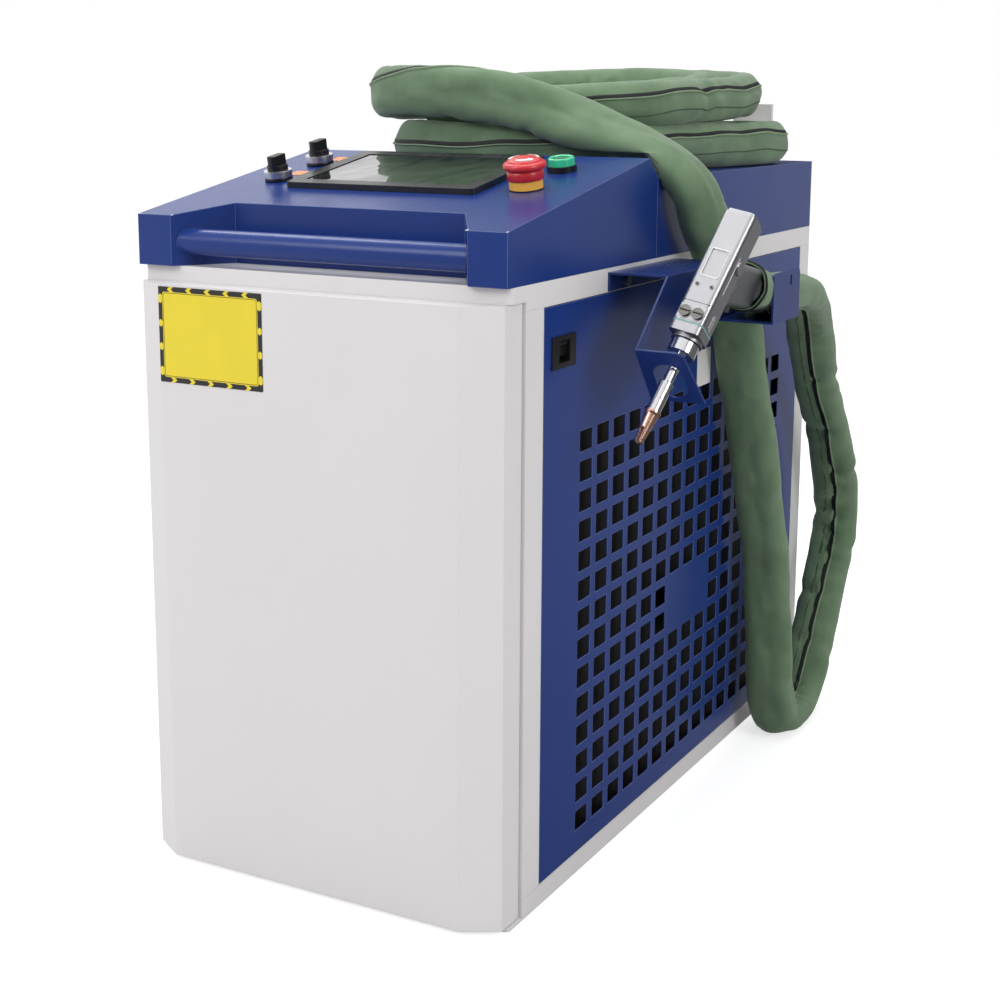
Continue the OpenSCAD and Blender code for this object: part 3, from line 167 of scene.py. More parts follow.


# powder coat: orange peel, a little dust, and folded edges lightened by a painted highlight that is partly
# edge wear
def coatFinish(name, look):
    n = Finish(name)
    tone = n.clouded(n.noise(look["cloud"], detail=4.0), look)
    rounded = n.roundedEdges(look)
    flat = n.add("ShaderNodeNewGeometry").outputs["Normal"]
    level = n.add("ShaderNodeVectorMath", {0: rounded, 1: flat}, operation="DOT_PRODUCT").outputs["Value"]
    # pale rounded edges: a painted highlight along them, partly edge wear
    litWornEdge = n.spread(level, look["litWornEdgeLevel"], 0.0, *shading["edgeBand"])
    dust = n.noise(look["cloud"] * shading["dustFiner"], detail=3.0)
    peel = n.noise(look["peel"])
    return n.surface({
        "Base Color": n.mixColour(litWornEdge, tone, look["litWornEdgeColour"]),
        "Roughness": n.rougher(dust, look, "coatRough"),
        "Specular IOR Level": look.get("shine", 0.5),
        "Normal": n.bump(peel, look["depth"], shading["peelHigh"], rounded)})


# metals: fine lines drawn along one axis, or an even blasted grain
def metalFinish(name, look):
    n = Finish(name)
    lines = n.noise(look["grain"], detail=3.0, place=n.scaled(look["stretch"]))
    tone = n.clouded(n.noise(look["cloud"], detail=3.0), look)
    drawn = n.spread(lines, 0, shading["lineMost"], *shading["lineBand"])
    return n.surface({
        "Metallic": 1.0,
        "Base Color": n.mixColour(drawn, tone, n.tint(look["colour"], shading["lineTint"])),
        "Roughness": n.rougher(lines, look, "metalRough", *shading["cloudBand"]),
        "Normal": n.bump(lines, look["depth"], shading["grainHigh"], n.roundedEdges(look))})


# moulded plastics and rubber: fine spark grain with small polished patches
def plasticFinish(name, look):
    n = Finish(name)
    cloud = n.noise(look["cloud"], detail=3.0)
    grain = n.noise(look["grain"])
    return n.surface({
        "Base Color": n.clouded(cloud, look),
        "Roughness": n.rougher(cloud, look, "plasticRough", *shading["cloudBand"]),
        "Normal": n.bump(grain, look["depth"], shading["grainHigh"], n.roundedEdges(look)),
        "Coat Weight": look.get("coat", 0.0)})


# looks of the coats, metals and plastics: noise scales are waves to the metre, edges are in metres
# litWornEdgeColour and litWornEdgeLevel: the painted highlight on the rounded edges, partly edge wear
coats = {
    "whiteCoat": {"colour": srgb(226, 223, 224), "vary": 0.012, "cloud": 7.0, "rough": 0.42,
                  "peel": 900.0, "depth": 0.10, "edge": 0.0012, "litWornEdgeLevel": 0.35,
                  "litWornEdgeColour": srgb(250, 249, 248)},
    "blueCoat": {"colour": srgb(29, 55, 124), "vary": 0.05, "cloud": 9.0, "rough": 0.22, "shine": 0.28,
                 "peel": 1100.0, "depth": 0.22, "edge": 0.0013, "litWornEdgeLevel": 0.9,
                 "litWornEdgeColour": srgb(138, 152, 202)},
    "holderCoat": {"colour": srgb(28, 50, 112), "vary": 0.05, "cloud": 12.0, "rough": 0.28, "shine": 0.28,
                   "peel": 1100.0, "depth": 0.22, "edge": 0.0009, "litWornEdgeLevel": 0.5,
                   "litWornEdgeColour": srgb(104, 120, 176)},
}
metals = {
    "bareSteel": {"colour": srgb(176, 178, 182), "vary": 0.06, "cloud": 12.0, "grain": 60.0,
                  "stretch": (1, 1, 24), "rough": 0.34, "depth": 0.10, "edge": 0.0004},
    "satinSteel": {"colour": srgb(222, 222, 225), "vary": 0.03, "cloud": 30.0, "grain": 200.0,
                   "stretch": (8, 8, 8), "rough": 0.33, "depth": 0.06, "edge": 0.0004},
    "brightMetal": {"colour": srgb(228, 228, 230), "vary": 0.04, "cloud": 20.0, "grain": 90.0,
                    "stretch": (14, 14, 14), "rough": 0.16, "depth": 0.012, "edge": 0.0003},
    "blastedAlloy": {"colour": srgb(182, 182, 186), "vary": 0.03, "cloud": 30.0, "grain": 240.0,
                     "stretch": (10, 10, 10), "rough": 0.34, "depth": 0.16, "edge": 0.0008},
    "darkMetal": {"colour": srgb(70, 72, 78), "vary": 0.08, "cloud": 16.0, "grain": 80.0,
                  "stretch": (1, 1, 16), "rough": 0.42, "depth": 0.12, "edge": 0.0005},
    "gripAlloy": {"colour": srgb(158, 159, 164), "vary": 0.06, "cloud": 40.0, "grain": 260.0,
                  "stretch": (10, 10, 10), "rough": 0.52, "depth": 0.22, "edge": 0.0008},
    "knobChrome": {"colour": srgb(138, 136, 134), "vary": 0.10, "cloud": 120.0, "grain": 500.0,
                   "stretch": (10, 10, 10), "rough": 0.22, "depth": 0.10, "edge": 0.0003},
    "copperMetal": {"colour": srgb(240, 192, 174), "vary": 0.10, "cloud": 60.0, "grain": 160.0,
                    "stretch": (6, 6, 6), "rough": 0.24, "depth": 0.02, "edge": 0.0003},
}
plastics = {
    "blackPlastic": {"colour": srgb(22, 22, 24), "vary": 0.12, "cloud": 40.0, "grain": 1400.0,
                     "rough": 0.36, "depth": 0.14, "edge": 0.0006},
    "bezelPlastic": {"colour": srgb(34, 35, 38), "vary": 0.10, "cloud": 30.0, "grain": 1400.0,
                     "rough": 0.26, "depth": 0.10, "edge": 0.0008},
    "redPlastic": {"colour": srgb(206, 44, 50), "vary": 0.06, "cloud": 60.0, "grain": 1600.0,
                   "rough": 0.32, "depth": 0.10, "edge": 0.0008, "coat": 0.2},
    "amberPlastic": {"colour": srgb(255, 190, 78), "vary": 0.05, "cloud": 60.0, "grain": 1600.0,
                     "rough": 0.30, "depth": 0.08, "edge": 0.0006},
    "greenLens": {"colour": srgb(60, 206, 150), "vary": 0.10, "cloud": 90.0, "grain": 900.0,
                  "rough": 0.12, "depth": 0.10, "edge": 0.0006, "coat": 0.5},
    "signYellow": {"colour": srgb(238, 216, 52), "vary": 0.02, "cloud": 40.0, "grain": 1200.0,
                   "rough": 0.34, "depth": 0.05, "edge": 0.0001},
    "signBlack": {"colour": srgb(36, 35, 36), "vary": 0.06, "cloud": 40.0, "grain": 1200.0, "rough": 0.36,
                  "depth": 0.05, "edge": 0.0001},
    "signWhite": {"colour": srgb(232, 231, 230), "vary": 0.02, "cloud": 40.0, "grain": 1200.0,
                  "rough": 0.4, "depth": 0.05, "edge": 0.0001},
    "signOrange": {"colour": srgb(232, 150, 96), "vary": 0.03, "cloud": 60.0, "grain": 1200.0,
                   "rough": 0.4, "depth": 0.05, "edge": 0.0001},
    # painted shade for the start button's well
    "wellShadeGreen": {"colour": srgb(10, 84, 58), "vary": 0.1, "cloud": 60.0, "grain": 1200.0, "rough": 0.2,
                  "depth": 0.05, "edge": 0.0002, "coat": 0.4},
    # near black: the colour of the gun's seam and the stop button's seal, and painted shade in screw
    # sockets and slots
    "darkHole": {"colour": srgb(14, 14, 16), "vary": 0.2, "cloud": 60.0, "grain": 1200.0, "rough": 0.6,
                 "depth": 0.05, "edge": 0.0001},
    "bluePlastic": {"colour": srgb(40, 66, 140), "vary": 0.06, "cloud": 50.0, "grain": 1400.0,
                    "rough": 0.4, "depth": 0.1, "edge": 0.0006},
    "tealRubber": {"colour": srgb(120, 178, 170), "vary": 0.05, "cloud": 80.0, "grain": 1200.0,
                   "rough": 0.5, "depth": 0.1, "edge": 0.0003},
    "tankPlastic": {"colour": srgb(222, 224, 220), "vary": 0.03, "cloud": 12.0, "grain": 600.0,
                    "rough": 0.4, "depth": 0.1, "edge": 0.002},
}
finishes = {name: coatFinish(name, look) for name, look in coats.items()}
finishes.update({name: metalFinish(name, look) for name, look in metals.items()})
finishes.update({name: plasticFinish(name, look) for name, look in plastics.items()})

screenLook = {
    "colour": srgb(20, 24, 25), "rough": 0.05, "haze": 0.12, "hazeBand": (0.45, 0.75), "gloss": 0.03,
    "smear": 26.0, "smearStretch": (1, 0.3, 1), "smearBand": (0.4, 0.7), "smearTint": 1.6,
    "film": 9.0, "filmStretch": (1, 0.6, 1), "wave": 0.35, "waveHigh": 0.012,
}


# dark screen under a thin smeared film that lies a little wavy
def screenFinish(name, look):
    n = Finish(name)
    smear = n.noise(look["smear"], detail=4.0, place=n.scaled(look["smearStretch"]))
    smeared = n.spread(smear, 0, 1, *look["smearBand"])
    film = n.noise(look["film"], detail=3.0, place=n.scaled(look["filmStretch"]))
    wavy = n.bump(film, look["wave"], look["waveHigh"])
    return n.surface({
        "Base Color": n.mixColour(smeared, look["colour"], n.tint(look["colour"], look["smearTint"])),
        "Roughness": n.spread(smear, look["rough"], look["rough"] + look["haze"], *look["hazeBand"]),
        "Coat Weight": 1.0,
        "Coat Roughness": look["gloss"],
        "Normal": wavy,
        "Coat Normal": wavy})


lensLook = {"colour": srgb(236, 244, 242), "cloud": 60.0, "tint": 0.94, "rough": 0.02, "clear": 0.9}


def lensFinish(name, look):
    n = Finish(name)
    duller = n.tint(look["colour"], look["tint"])
    return n.surface({
        "Base Color": n.mixColour(n.noise(look["cloud"]), look["colour"], duller),
        "Transmission Weight": look["clear"],
        "Roughness": look["rough"]})


meshLook = {
    # gap is the colour between the threads: painted shade of the dark inside seen through the mesh
    "colour": srgb(34, 31, 36), "gap": srgb(7, 7, 10), "pitch": 0.0024, "thread": 0.36,
    "rough": 0.7, "depth": 0.6, "high": 0.0004,
}


# dust filter: threads crossing in two directions, with painted shade in the gaps between them
def filterFinish(name, look):
    n = Finish(name)
    axes = n.add("ShaderNodeSeparateXYZ", {"Vector": n.place}).outputs
    lines = []
    for axis in ("Y", "Z"):
        wave = n.math("FRACT", n.math("MULTIPLY", axes[axis], 1 / look["pitch"]))
        lines.append(n.math("LESS_THAN", wave, look["thread"]))
    thread = n.math("MAXIMUM", *lines)
    return n.surface({
        "Base Color": n.mixColour(thread, look["gap"], look["colour"]),
        "Normal": n.bump(thread, look["depth"], look["high"]),
        "Roughness": look["rough"]})


finishes["screenGlass"] = screenFinish("screenGlass", screenLook)
finishes["lensGlass"] = lensFinish("lensGlass", lensLook)
finishes["filterMesh"] = filterFinish("filterMesh", meshLook)

clothLook = {
    "colour": srgb(102, 129, 98), "dark": srgb(64, 87, 62), "light": srgb(138, 163, 130), "even": 0.62,
    "cloud": 26.0, "cloudRough": 0.62, "cloudBand": (0.25, 0.75),
    "warp": 1500.0, "weft": 1300.0, "weave": 0.16, "weaveBump": (0.25, 0.0003),
    "streak": 22.0, "streakStretch": (3, 60, 1), "streakMost": 0.22, "streakBand": (0.62, 0.8),
    "streakTint": 1.25,
    "rough": 0.86, "sheen": 0.25, "sheenRough": 0.45, "fuzz": 420.0, "fuzzBump": (0.3, 0.0005),
}


# canvas of the sleeve: plain weave along the sleeve's own length and girth, with rubbed pale streaks
def clothFinish(name, look):
    n = Finish(name)
    uv = n.add("ShaderNodeUVMap", uv_map="girth").outputs["UV"]
    ways = n.add("ShaderNodeSeparateXYZ", {"Vector": uv}).outputs
    warp = n.math("SINE", n.math("MULTIPLY", ways["X"], look["warp"] * 2 * math.pi))
    weft = n.math("SINE", n.math("MULTIPLY", ways["Y"], look["weft"] * 2 * math.pi))
    weave = n.math("MULTIPLY", warp, weft)
    cloud = n.noise(look["cloud"], detail=5.0, rough=look["cloudRough"])
    streak = n.noise(look["streak"], detail=3.0, place=n.scaled(look["streakStretch"], uv))
    rubbed = n.spread(streak, 0, look["streakMost"], *look["streakBand"])
    tone = n.mixColour(n.spread(cloud, 0, 1, *look["cloudBand"]), look["dark"], look["light"])
    tone = n.mixColour(look["even"], tone, look["colour"])
    tone = n.mixColour(rubbed, tone, n.tint(look["light"], look["streakTint"]))
    tone = n.mixColour(n.spread(weave, 0, look["weave"], -1, 1), tone, look["dark"])
    woven = n.bump(weave, *look["weaveBump"])
    fuzz = n.noise(look["fuzz"], detail=3.0)
    return n.surface({
        "Base Color": tone,
        "Roughness": look["rough"],
        "Sheen Weight": look["sheen"],
        "Sheen Roughness": look["sheenRough"],
        "Normal": n.bump(fuzz, *look["fuzzBump"], woven)})


finishes["sleeveCloth"] = clothFinish("sleeveCloth", clothLook)
trimLooks = {
    "zipCloth": {"colour": srgb(24, 26, 27), "vary": 0.2, "cloud": 120.0, "grain": 900.0, "rough": 0.7,
                 "depth": 0.3, "edge": 0.0003},
    "lipCloth": {"colour": srgb(128, 150, 120), "vary": 0.1, "cloud": 60.0, "grain": 900.0, "rough": 0.85,
                 "depth": 0.3, "edge": 0.0003},
    "threadCloth": {"colour": srgb(70, 88, 68), "vary": 0.25, "cloud": 500.0, "grain": 1200.0,
                    "rough": 0.85, "depth": 0.3, "edge": 0.0002},
}
finishes.update({name: plasticFinish(name, look) for name, look in trimLooks.items()})
print("finishes made:", len(finishes))


# small mesh helpers
def smoothstep(x):
    x = min(1.0, max(0.0, x))
    return x * x * (3 - 2 * x)


def newPiece(name, mesh, finish, body="cabinet"):
    piece = bpy.data.objects.new(name, mesh)
    bpy.context.scene.collection.objects.link(piece)
    mesh.materials.append(finishes[finish])
    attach(piece, body)
    return piece


def meshFrom(name, verts, faces, smooth=True):
    mesh = bpy.data.meshes.new(name)
    mesh.from_pydata([tuple(v) for v in verts], [], faces)
    mesh.validate()
    if smooth:
        mesh.polygons.foreach_set("use_smooth", [True] * len(mesh.polygons))
    mesh.update()
    return mesh


# hose route: the coil as a squared oval in metres, wider on the outside and rounder on the inside
hoseRoute = {
    "hose": 0.038, "deck": 0.6723, "coilY": 0.549, "startAngle": 74.7, "loops": 4,
    "halfWide": 0.178, "halfLong": 0.217, "stepWide": 0.039, "stepLong": 0.046,
    "squareOuter": 4.0, "squareInner": 2.0, "riseOver": 0.5, "layerGap": 0.001, "coilKnots": 120,
    "caseHalf": 0.395, "gripEnd": (0.299686, 0.305183, 0.57027), "ringStep": 0.0045,
    # knots of the free run, in millimetres from the middle of the horns' front edge on the floor
    "points": [
        (-184, 473, 748), (-186, 440, 750), (-177, 402, 753), (-150, 370, 756), (-106, 353, 756),
        (-55, 345, 753), (0, 341, 749), (52, 338, 738), (100, 336, 724), (142, 336, 711), (178, 337, 698),
        (206, 339, 682), (224, 346, 661), (229, 362, 634), (231, 388, 606), (232, 416, 574),
        (233, 442, 538), (233, 464, 495), (234, 488, 430), (235, 516, 365), (236, 538, 300),
        (238, 556, 240), (239, 568, 180), (241, 573, 130), (243, 574, 90), (244, 577, 62), (246, 585, 38),
        (247, 601, 22), (248, 624, 18.5), (249, 650, 21.5), (250, 672, 38), (250, 692, 64),
        (250, 714, 92), (250, 742, 131), (250, 769, 172), (250, 787, 217), (250, 784, 263),
        (250, 768, 300), (250, 746, 337), (250, 721, 371), (251, 693, 403), (254, 665, 436),
        (260, 634, 466), (267, 602, 495), (275, 568, 519), (283, 532, 536), (288, 498, 545),
        (290, 465, 549.5), (290, 430, 552), (290, 398, 553), (291.5, 370, 556.5), (294.5, 346, 562),
        (297.5, 325, 567)],
    # how the loose sleeve lies, in millimetres: up in each layer, at the rear and at the front, and back
    # at the front; and the turns over which the lower layer comes up, and the push back ends
    "lowerUp": 6.5, "upperUp": 17.0, "rearUp": 12.0, "frontUp": -9.0, "frontBack": 16.0,
    "upOver": 1 / 6, "backOver": 0.5,
    # the lower turn pushed out at the right rear corner: turns from the start, millimetres right and back
    "corner": [(0.64, 0, 0), (0.72, 5, 0), (0.76, 12, 0), (0.80, 22, 6), (0.84, 34, 22), (0.88, 48, 37),
               (0.92, 55, 41), (0.96, 27, 13), (1.0, 7, 3), (1.05, 0, 0)],
}


# a point of the coil, counted in turns from its outer start inwards and out again one layer up
def coilPoint(t, turns, r):
    s = min(t, turns - t)
    power = r["squareOuter"] - (r["squareOuter"] - r["squareInner"]) * s / (turns / 2)
    a, b = r["halfWide"] - r["stepWide"] * s, r["halfLong"] - r["stepLong"] * s
    angle = math.radians(r["startAngle"] + 360 * t)
    c, d = math.cos(angle), math.sin(angle)
    reach = (abs(c / a) ** power + abs(d / b) ** power) ** (-1 / power)
    rise = smoothstep((t - turns / 2) / r["riseOver"] + 0.5)
    turnsAt, out, aft = zip(*r["corner"])
    x = reach * c + float(np.interp(t, turnsAt, out)) / 1000
    y = reach * d + float(np.interp(t, turnsAt, aft)) / 1000
    # the cloth stands taller than the bare hose
    front, rear = max(0.0, -d) ** 2, max(0.0, d) ** 1.5
    lower = r["lowerUp"] * (1 - rise) * smoothstep(t / r["upOver"])
    up = lower + rise * (r["upperUp"] + rear * r["rearUp"] + front * r["frontUp"])
    back = rise * front * r["frontBack"] * smoothstep((turns - t) / r["backOver"])
    layer = (r["hose"] + r["layerGap"]) * rise
    return Vector((x, r["coilY"] + y + back / 1000, r["deck"] + r["hose"] / 2 + layer + up / 1000))


def hoseLine(r):
    turns = (180 + 360 * r["loops"] - r["startAngle"]) / 360
    count = r["coilKnots"]
    coil = [coilPoint(turns * i / count, turns, r) for i in range(count + 1)]
    lead = [coil[0] + Vector((r["hose"], 0, 0)), coil[0] + Vector((r["hose"] / 2, 0, 0))]
    tail = [coil[-1] - Vector((0, r["hose"], 0))]
    run = [Vector(p) / 1000 for p in r["points"]] + [Vector(r["gripEnd"])]
    knots = [p - Vector((0, r["caseHalf"], 0)) for p in lead + coil + tail + run]
    return knots, len(lead) + count + 1


# a curve through the knots (centripetal Catmull-Rom), then cut in even steps
def throughKnots(knots, step, parts=8, least=1e-6):
    def between(a, b, ta, tb, t):
        return a * ((tb - t) / (tb - ta)) + b * ((t - ta) / (tb - ta))

    points = [2 * knots[0] - knots[1]] + knots + [2 * knots[-1] - knots[-2]]
    fine = []
    for p0, p1, p2, p3 in zip(points, points[1:], points[2:], points[3:]):
        t0 = 0
        t1 = t0 + max((p1 - p0).length, least) ** 0.5
        t2 = t1 + max((p2 - p1).length, least) ** 0.5
        t3 = t2 + max((p3 - p2).length, least) ** 0.5
        for k in range(parts):
            t = t1 + (t2 - t1) * k / parts
            a1, a2 = between(p0, p1, t0, t1, t), between(p1, p2, t1, t2, t)
            a3 = between(p2, p3, t2, t3, t)
            b1, b2 = between(a1, a2, t0, t2, t), between(a2, a3, t1, t3, t)
            fine.append(between(b1, b2, t1, t2, t))
    fine.append(knots[-1].copy())
    line = np.array([tuple(p) for p in fine])
    gaps = np.linalg.norm(np.diff(line, axis=0), axis=1)
    dist = np.concatenate([[0], np.cumsum(gaps)])
    count = int(round(dist[-1] / step))
    at = np.linspace(0, dist[-1], count + 1)
    even = np.stack([np.interp(at, dist, line[:, k]) for k in range(3)], axis=1)
    return even, at


hoseKnots, runStart = hoseLine(hoseRoute)
ringLine, ringAt = throughKnots(hoseKnots, hoseRoute["ringStep"])
coilKnot = np.array(hoseKnots[runStart])
coilEndAt = ringAt[int(np.argmin(np.linalg.norm(ringLine - coilKnot, axis=1)))]
hoseLength = float(ringAt[-1])
print("hose line", round(hoseLength, 3), "m, coil", round(float(coilEndAt), 3), "m")


# frames carried along the line without twist
def carriedFrames(line):
    tangents = np.gradient(line, axis=0)
    tangents /= np.linalg.norm(tangents, axis=1)[:, None]
    side = np.cross(tangents[0], (0, 0, 1.0))
    side /= np.linalg.norm(side)
    sides = [side]
    for i in range(1, len(line)):
        axis = np.cross(tangents[i - 1], tangents[i])
        size = np.linalg.norm(axis)
        v = sides[-1]
        if size > 1e-9:  # a straight stretch keeps its frame
            axis = axis / size
            angle = math.atan2(size, float(tangents[i - 1] @ tangents[i]))
            swung = v * math.cos(angle) + np.cross(axis, v) * math.sin(angle)
            v = swung + axis * (axis @ v) * (1 - math.cos(angle))
        v = v - tangents[i] * (v @ tangents[i])
        sides.append(v / np.linalg.norm(v))
    sides = np.array(sides)
    return tangents, sides, np.cross(tangents, sides)


hoseT, hoseN, hoseB = carriedFrames(ringLine)


# angle round the hose of a wanted direction at each ring, followed without jumps and evened out over a
# number of rings; where the hose runs nearly along the direction, the last clear angle is held
def steered(want, period, least=0.3, reach=20):
    flat = want - hoseT * np.sum(want * hoseT, axis=1)[:, None]
    weight = np.linalg.norm(flat, axis=1)
    angle = np.arctan2(np.sum(flat * hoseB, axis=1), np.sum(flat * hoseN, axis=1))
    angle = np.unwrap(angle, period=period)
    held = angle[int(np.argmax(weight))]
    for i in range(len(angle)):
        if weight[i] < least:
            angle[i] = held
        held = angle[i]
    kernel = np.hanning(2 * reach + 1)
    kernel /= kernel.sum()
    return np.convolve(np.pad(angle, reach, mode="edge"), kernel, mode="valid")


# length along the hose at the ring of the free run that is nearest to a place given in millimetres
def along(place):
    point = np.array(place) / 1000 - np.array((0, hoseRoute["caseHalf"], 0))
    outOfReach = 10  # metres, added on the coil
    far = np.linalg.norm(ringLine - point, axis=1) + np.where(ringAt < coilEndAt, outOfReach, 0)
    return float(ringAt[int(np.argmin(far))])


# directions given at the coil's end, at places of the run and at the gun, spread over all rings
def spreadWays(stations):
    ends = {"coilEnd": coilEndAt, "gun": hoseLength}
    keys = np.array([ends[place] if place in ends else along(place) for place, way in stations])
    ways = np.array([way for place, way in stations], float)
    return np.stack([np.interp(ringAt, keys, ways[:, k]) for k in range(3)], axis=1)


sleeve = {
    "sides": 44, "girthDiameter": 0.042, "girth": 0.13,
    # half sizes across the broad and the thin way: along the coil, on the free run, at the gun
    "coil": (0.0245, 0.0176), "run": (0.0272, 0.0164), "end": (0.0212, 0.0198),
    # metres before the coil's end and the gun where the sizes begin to change, and over how much they do
    "runFrom": 0.08, "endFrom": 0.34, "changeOver": 0.2,
    "coilOver": 0.12,  # metres over which the coil's directions pass into the run's
    # how square the flattened tube is, more so at the fold on the floor
    "square": 0.7, "squareOver": 0.3, "cornerSquare": 2.2, "squareLong": 0.03,
    # slack cloth: waves along and round the sleeve, slow ones and a share of quicker ones
    "slack": 0.0021, "slowWaves": (15, 0.9), "quickWaves": (42, 1.7), "quickShare": 0.45, "seed": 7.3,
    # creases on the inside of bends, full from this bend (1/m) on
    "crease": 0.0050, "creaseWaves": (62, 0.8), "creaseThin": 5, "fullBend": 11,
    "most": 0.0287,  # the cloth never stands further out than this
    # pinched folds: distance from the gun, depth, width, and the side they bite into, from the zip
    "folds": [
        (0.055, 0.004, 0.007, 0.4), (0.115, 0.005, 0.008, -0.7), (0.42, 0.006, 0.009, 0.6),
        (0.50, 0.007, 0.010, -0.5), (0.575, 0.006, 0.008, 0.7), (0.64, 0.006, 0.009, -0.6),
        (0.70, 0.006, 0.008, 0.5), (0.765, 0.006, 0.009, -0.4), (0.83, 0.005, 0.009, 0.5),
        (1.55, 0.004, 0.012, 1.4), (1.84, 0.006, 0.010, -1.9), (1.95, 0.006, 0.012, -2.3),
        (2.06, 0.005, 0.012, -2.0), (2.30, 0.006, 0.012, -1.2), (2.95, 0.005, 0.012, 0.7),
        (3.60, 0.005, 0.010, 0.9)],
    "foldLean": 0.011, "foldTurn": 1.3, "foldRim": 0.35, "foldRound": 0.7, "foldReach": 3,
    # the corner where the loop folds on the floor: where it is, how far the cloth stands out, how long
    "cornerPlace": (246, 593, 29), "cornerOut": 0.0125, "cornerLong": 0.015,
    # the broad way of the flattened tube, and the side that the zip is on
    "broadWays": [
        ("coilEnd", (0, 0, 1)), ((52, 338, 746), (0, 0.1, 1)), ((120, 336, 733), (0.2, 0.7, 0.7)),
        ((178, 337, 713), (0.2, 1, 0.1)), ((228, 362, 637), (0.3, 1, 0)),
        ((228, 416, 575), (0.75, 0.75, 0)), ((228, 464, 495), (1, 0.1, 0)), ("gun", (1, 0, 0))],
    "zipWays": [
        ("coilEnd", (-1, 0.2, 0.15)), ((-177, 402, 753), (-1, -0.2, 0.5)),
        ((-106, 353, 756), (0, -0.6, 1)), ((-30, 343, 752), (0, 0.4, 1)), ((142, 336, 727), (0, 0.9, 0.6)),
        ((228, 442, 538), (0, 1, 0.3)), ((240, 574, 180), (0, 1, 0.2)), ((250, 650, 21), (0, 0, 1)),
        ((250, 760, 131), (0.1, -1, 0.2)), ((250, 724, 371), (0.2, -0.95, 0.1)),
        ((267, 602, 495), (0.1, -0.8, -0.5)),
        ((290, 465, 549), (0.2, -0.1, -1)), ("gun", (0.5, 0, -1))],
    # on the coil the zip looks outwards, and up a little: everywhere, and more on the right
    "zipUp": 0.15, "zipUpRight": 0.75,
}

onCoil = np.clip((coilEndAt - ringAt) / sleeve["coilOver"] + 0.5, 0, 1)[:, None]
upright = np.array((0, 0, 1.0))
broadWant = onCoil * upright + (1 - onCoil) * spreadWays(sleeve["broadWays"])
broadAngle = steered(broadWant, math.pi)

outward = ringLine - np.array((0, hoseRoute["coilY"] - hoseRoute["caseHalf"], 0))
outward[:, 2] = 0
outward /= np.linalg.norm(outward, axis=1)[:, None]
outward[:, 2] = sleeve["zipUp"] + sleeve["zipUpRight"] * np.clip(outward[:, 0], 0, 1)
zipAngle = steered(onCoil * outward + (1 - onCoil) * spreadWays(sleeve["zipWays"]), 2 * math.pi)

bendWay = np.gradient(hoseT, axis=0)
bends = np.linalg.norm(bendWay, axis=1) / np.gradient(ringAt)
bendAngle = np.arctan2(np.sum(bendWay * hoseB, axis=1), np.sum(bendWay * hoseN, axis=1))
cornerAt = along(sleeve["cornerPlace"])


def halfSizes(at):
    toRun = np.clip((at - coilEndAt + sleeve["runFrom"]) / sleeve["changeOver"], 0, 1)
    toEnd = np.clip((at - hoseLength + sleeve["endFrom"]) / sleeve["changeOver"], 0, 1)
    sizes = []
    for k in range(2):
        size = sleeve["coil"][k] * (1 - toRun) + sleeve["run"][k] * toRun
        sizes.append(size * (1 - toEnd) + sleeve["end"][k] * toEnd)
    return sizes


# a smooth hump: 1 at 0, and nearly gone at 2
def bell(x):
    return math.exp(-x ** 2)


# radius of the sleeve at a ring and an angle round it
def sleeveRadius(i, angle):
    at, seed = ringAt[i], sleeve["seed"]
    wide, thin = halfSizes(at)
    a = angle - broadAngle[i]
    power = 2 + sleeve["square"] * smoothstep((at - coilEndAt) / sleeve["squareOver"])
    power += sleeve["cornerSquare"] * bell((at - cornerAt) / sleeve["squareLong"])
    radius = (abs(math.cos(a) / wide) ** power + abs(math.sin(a) / thin) ** power) ** (-1 / power)
    c, d = math.cos(angle), math.sin(angle)
    # slow swelling of slack cloth, then pinched creases on the inside of bends
    (slow, slowRound), (quick, quickRound) = sleeve["slowWaves"], sleeve["quickWaves"]
    slack = noise.noise(Vector((at * slow, c * slowRound + seed, d * slowRound)))
    ripple = noise.noise(Vector((at * quick, c * quickRound, d * quickRound + seed)))
    radius += sleeve["slack"] * (slack + sleeve["quickShare"] * ripple)
    fine, fineRound = sleeve["creaseWaves"]
    inside = max(0.0, math.cos(angle - bendAngle[i])) ** 1.5 * min(1.0, bends[i] / sleeve["fullBend"])
    pinch = noise.noise(Vector((at * fine, c * fineRound, d * fineRound + seed)))
    radius -= sleeve["crease"] * inside * max(0.0, 1 - abs(pinch) * sleeve["creaseThin"])
    for n, (back, depth, width, side) in enumerate(sleeve["folds"]):
        way = angle - zipAngle[i] - side
        off = at - (hoseLength - back + sleeve["foldLean"] * math.sin(way * sleeve["foldTurn"] + n))
        if abs(off) < width * sleeve["foldReach"]:
            dent = bell(off / width) - sleeve["foldRim"] * bell(off / width / 2)
            radius -= depth * dent * max(0.0, math.cos(way)) ** sleeve["foldRound"]
    corner = bell((at - cornerAt) / sleeve["cornerLong"])
    radius += sleeve["cornerOut"] * corner * max(0.0, -math.cos(angle - bendAngle[i])) ** 2
    return min(sleeve["most"], radius)


solidShape = {
    # console ridge and rear deck under the hose, in the solids' own millimetres from the horns
    "slopeFoot": 640.0, "slope": 0.1781, "ridgeY": 334.0, "deckZ": 672.3, "halfWide": 200.0, "long": 792.0,
    "clear": 0.8,
}


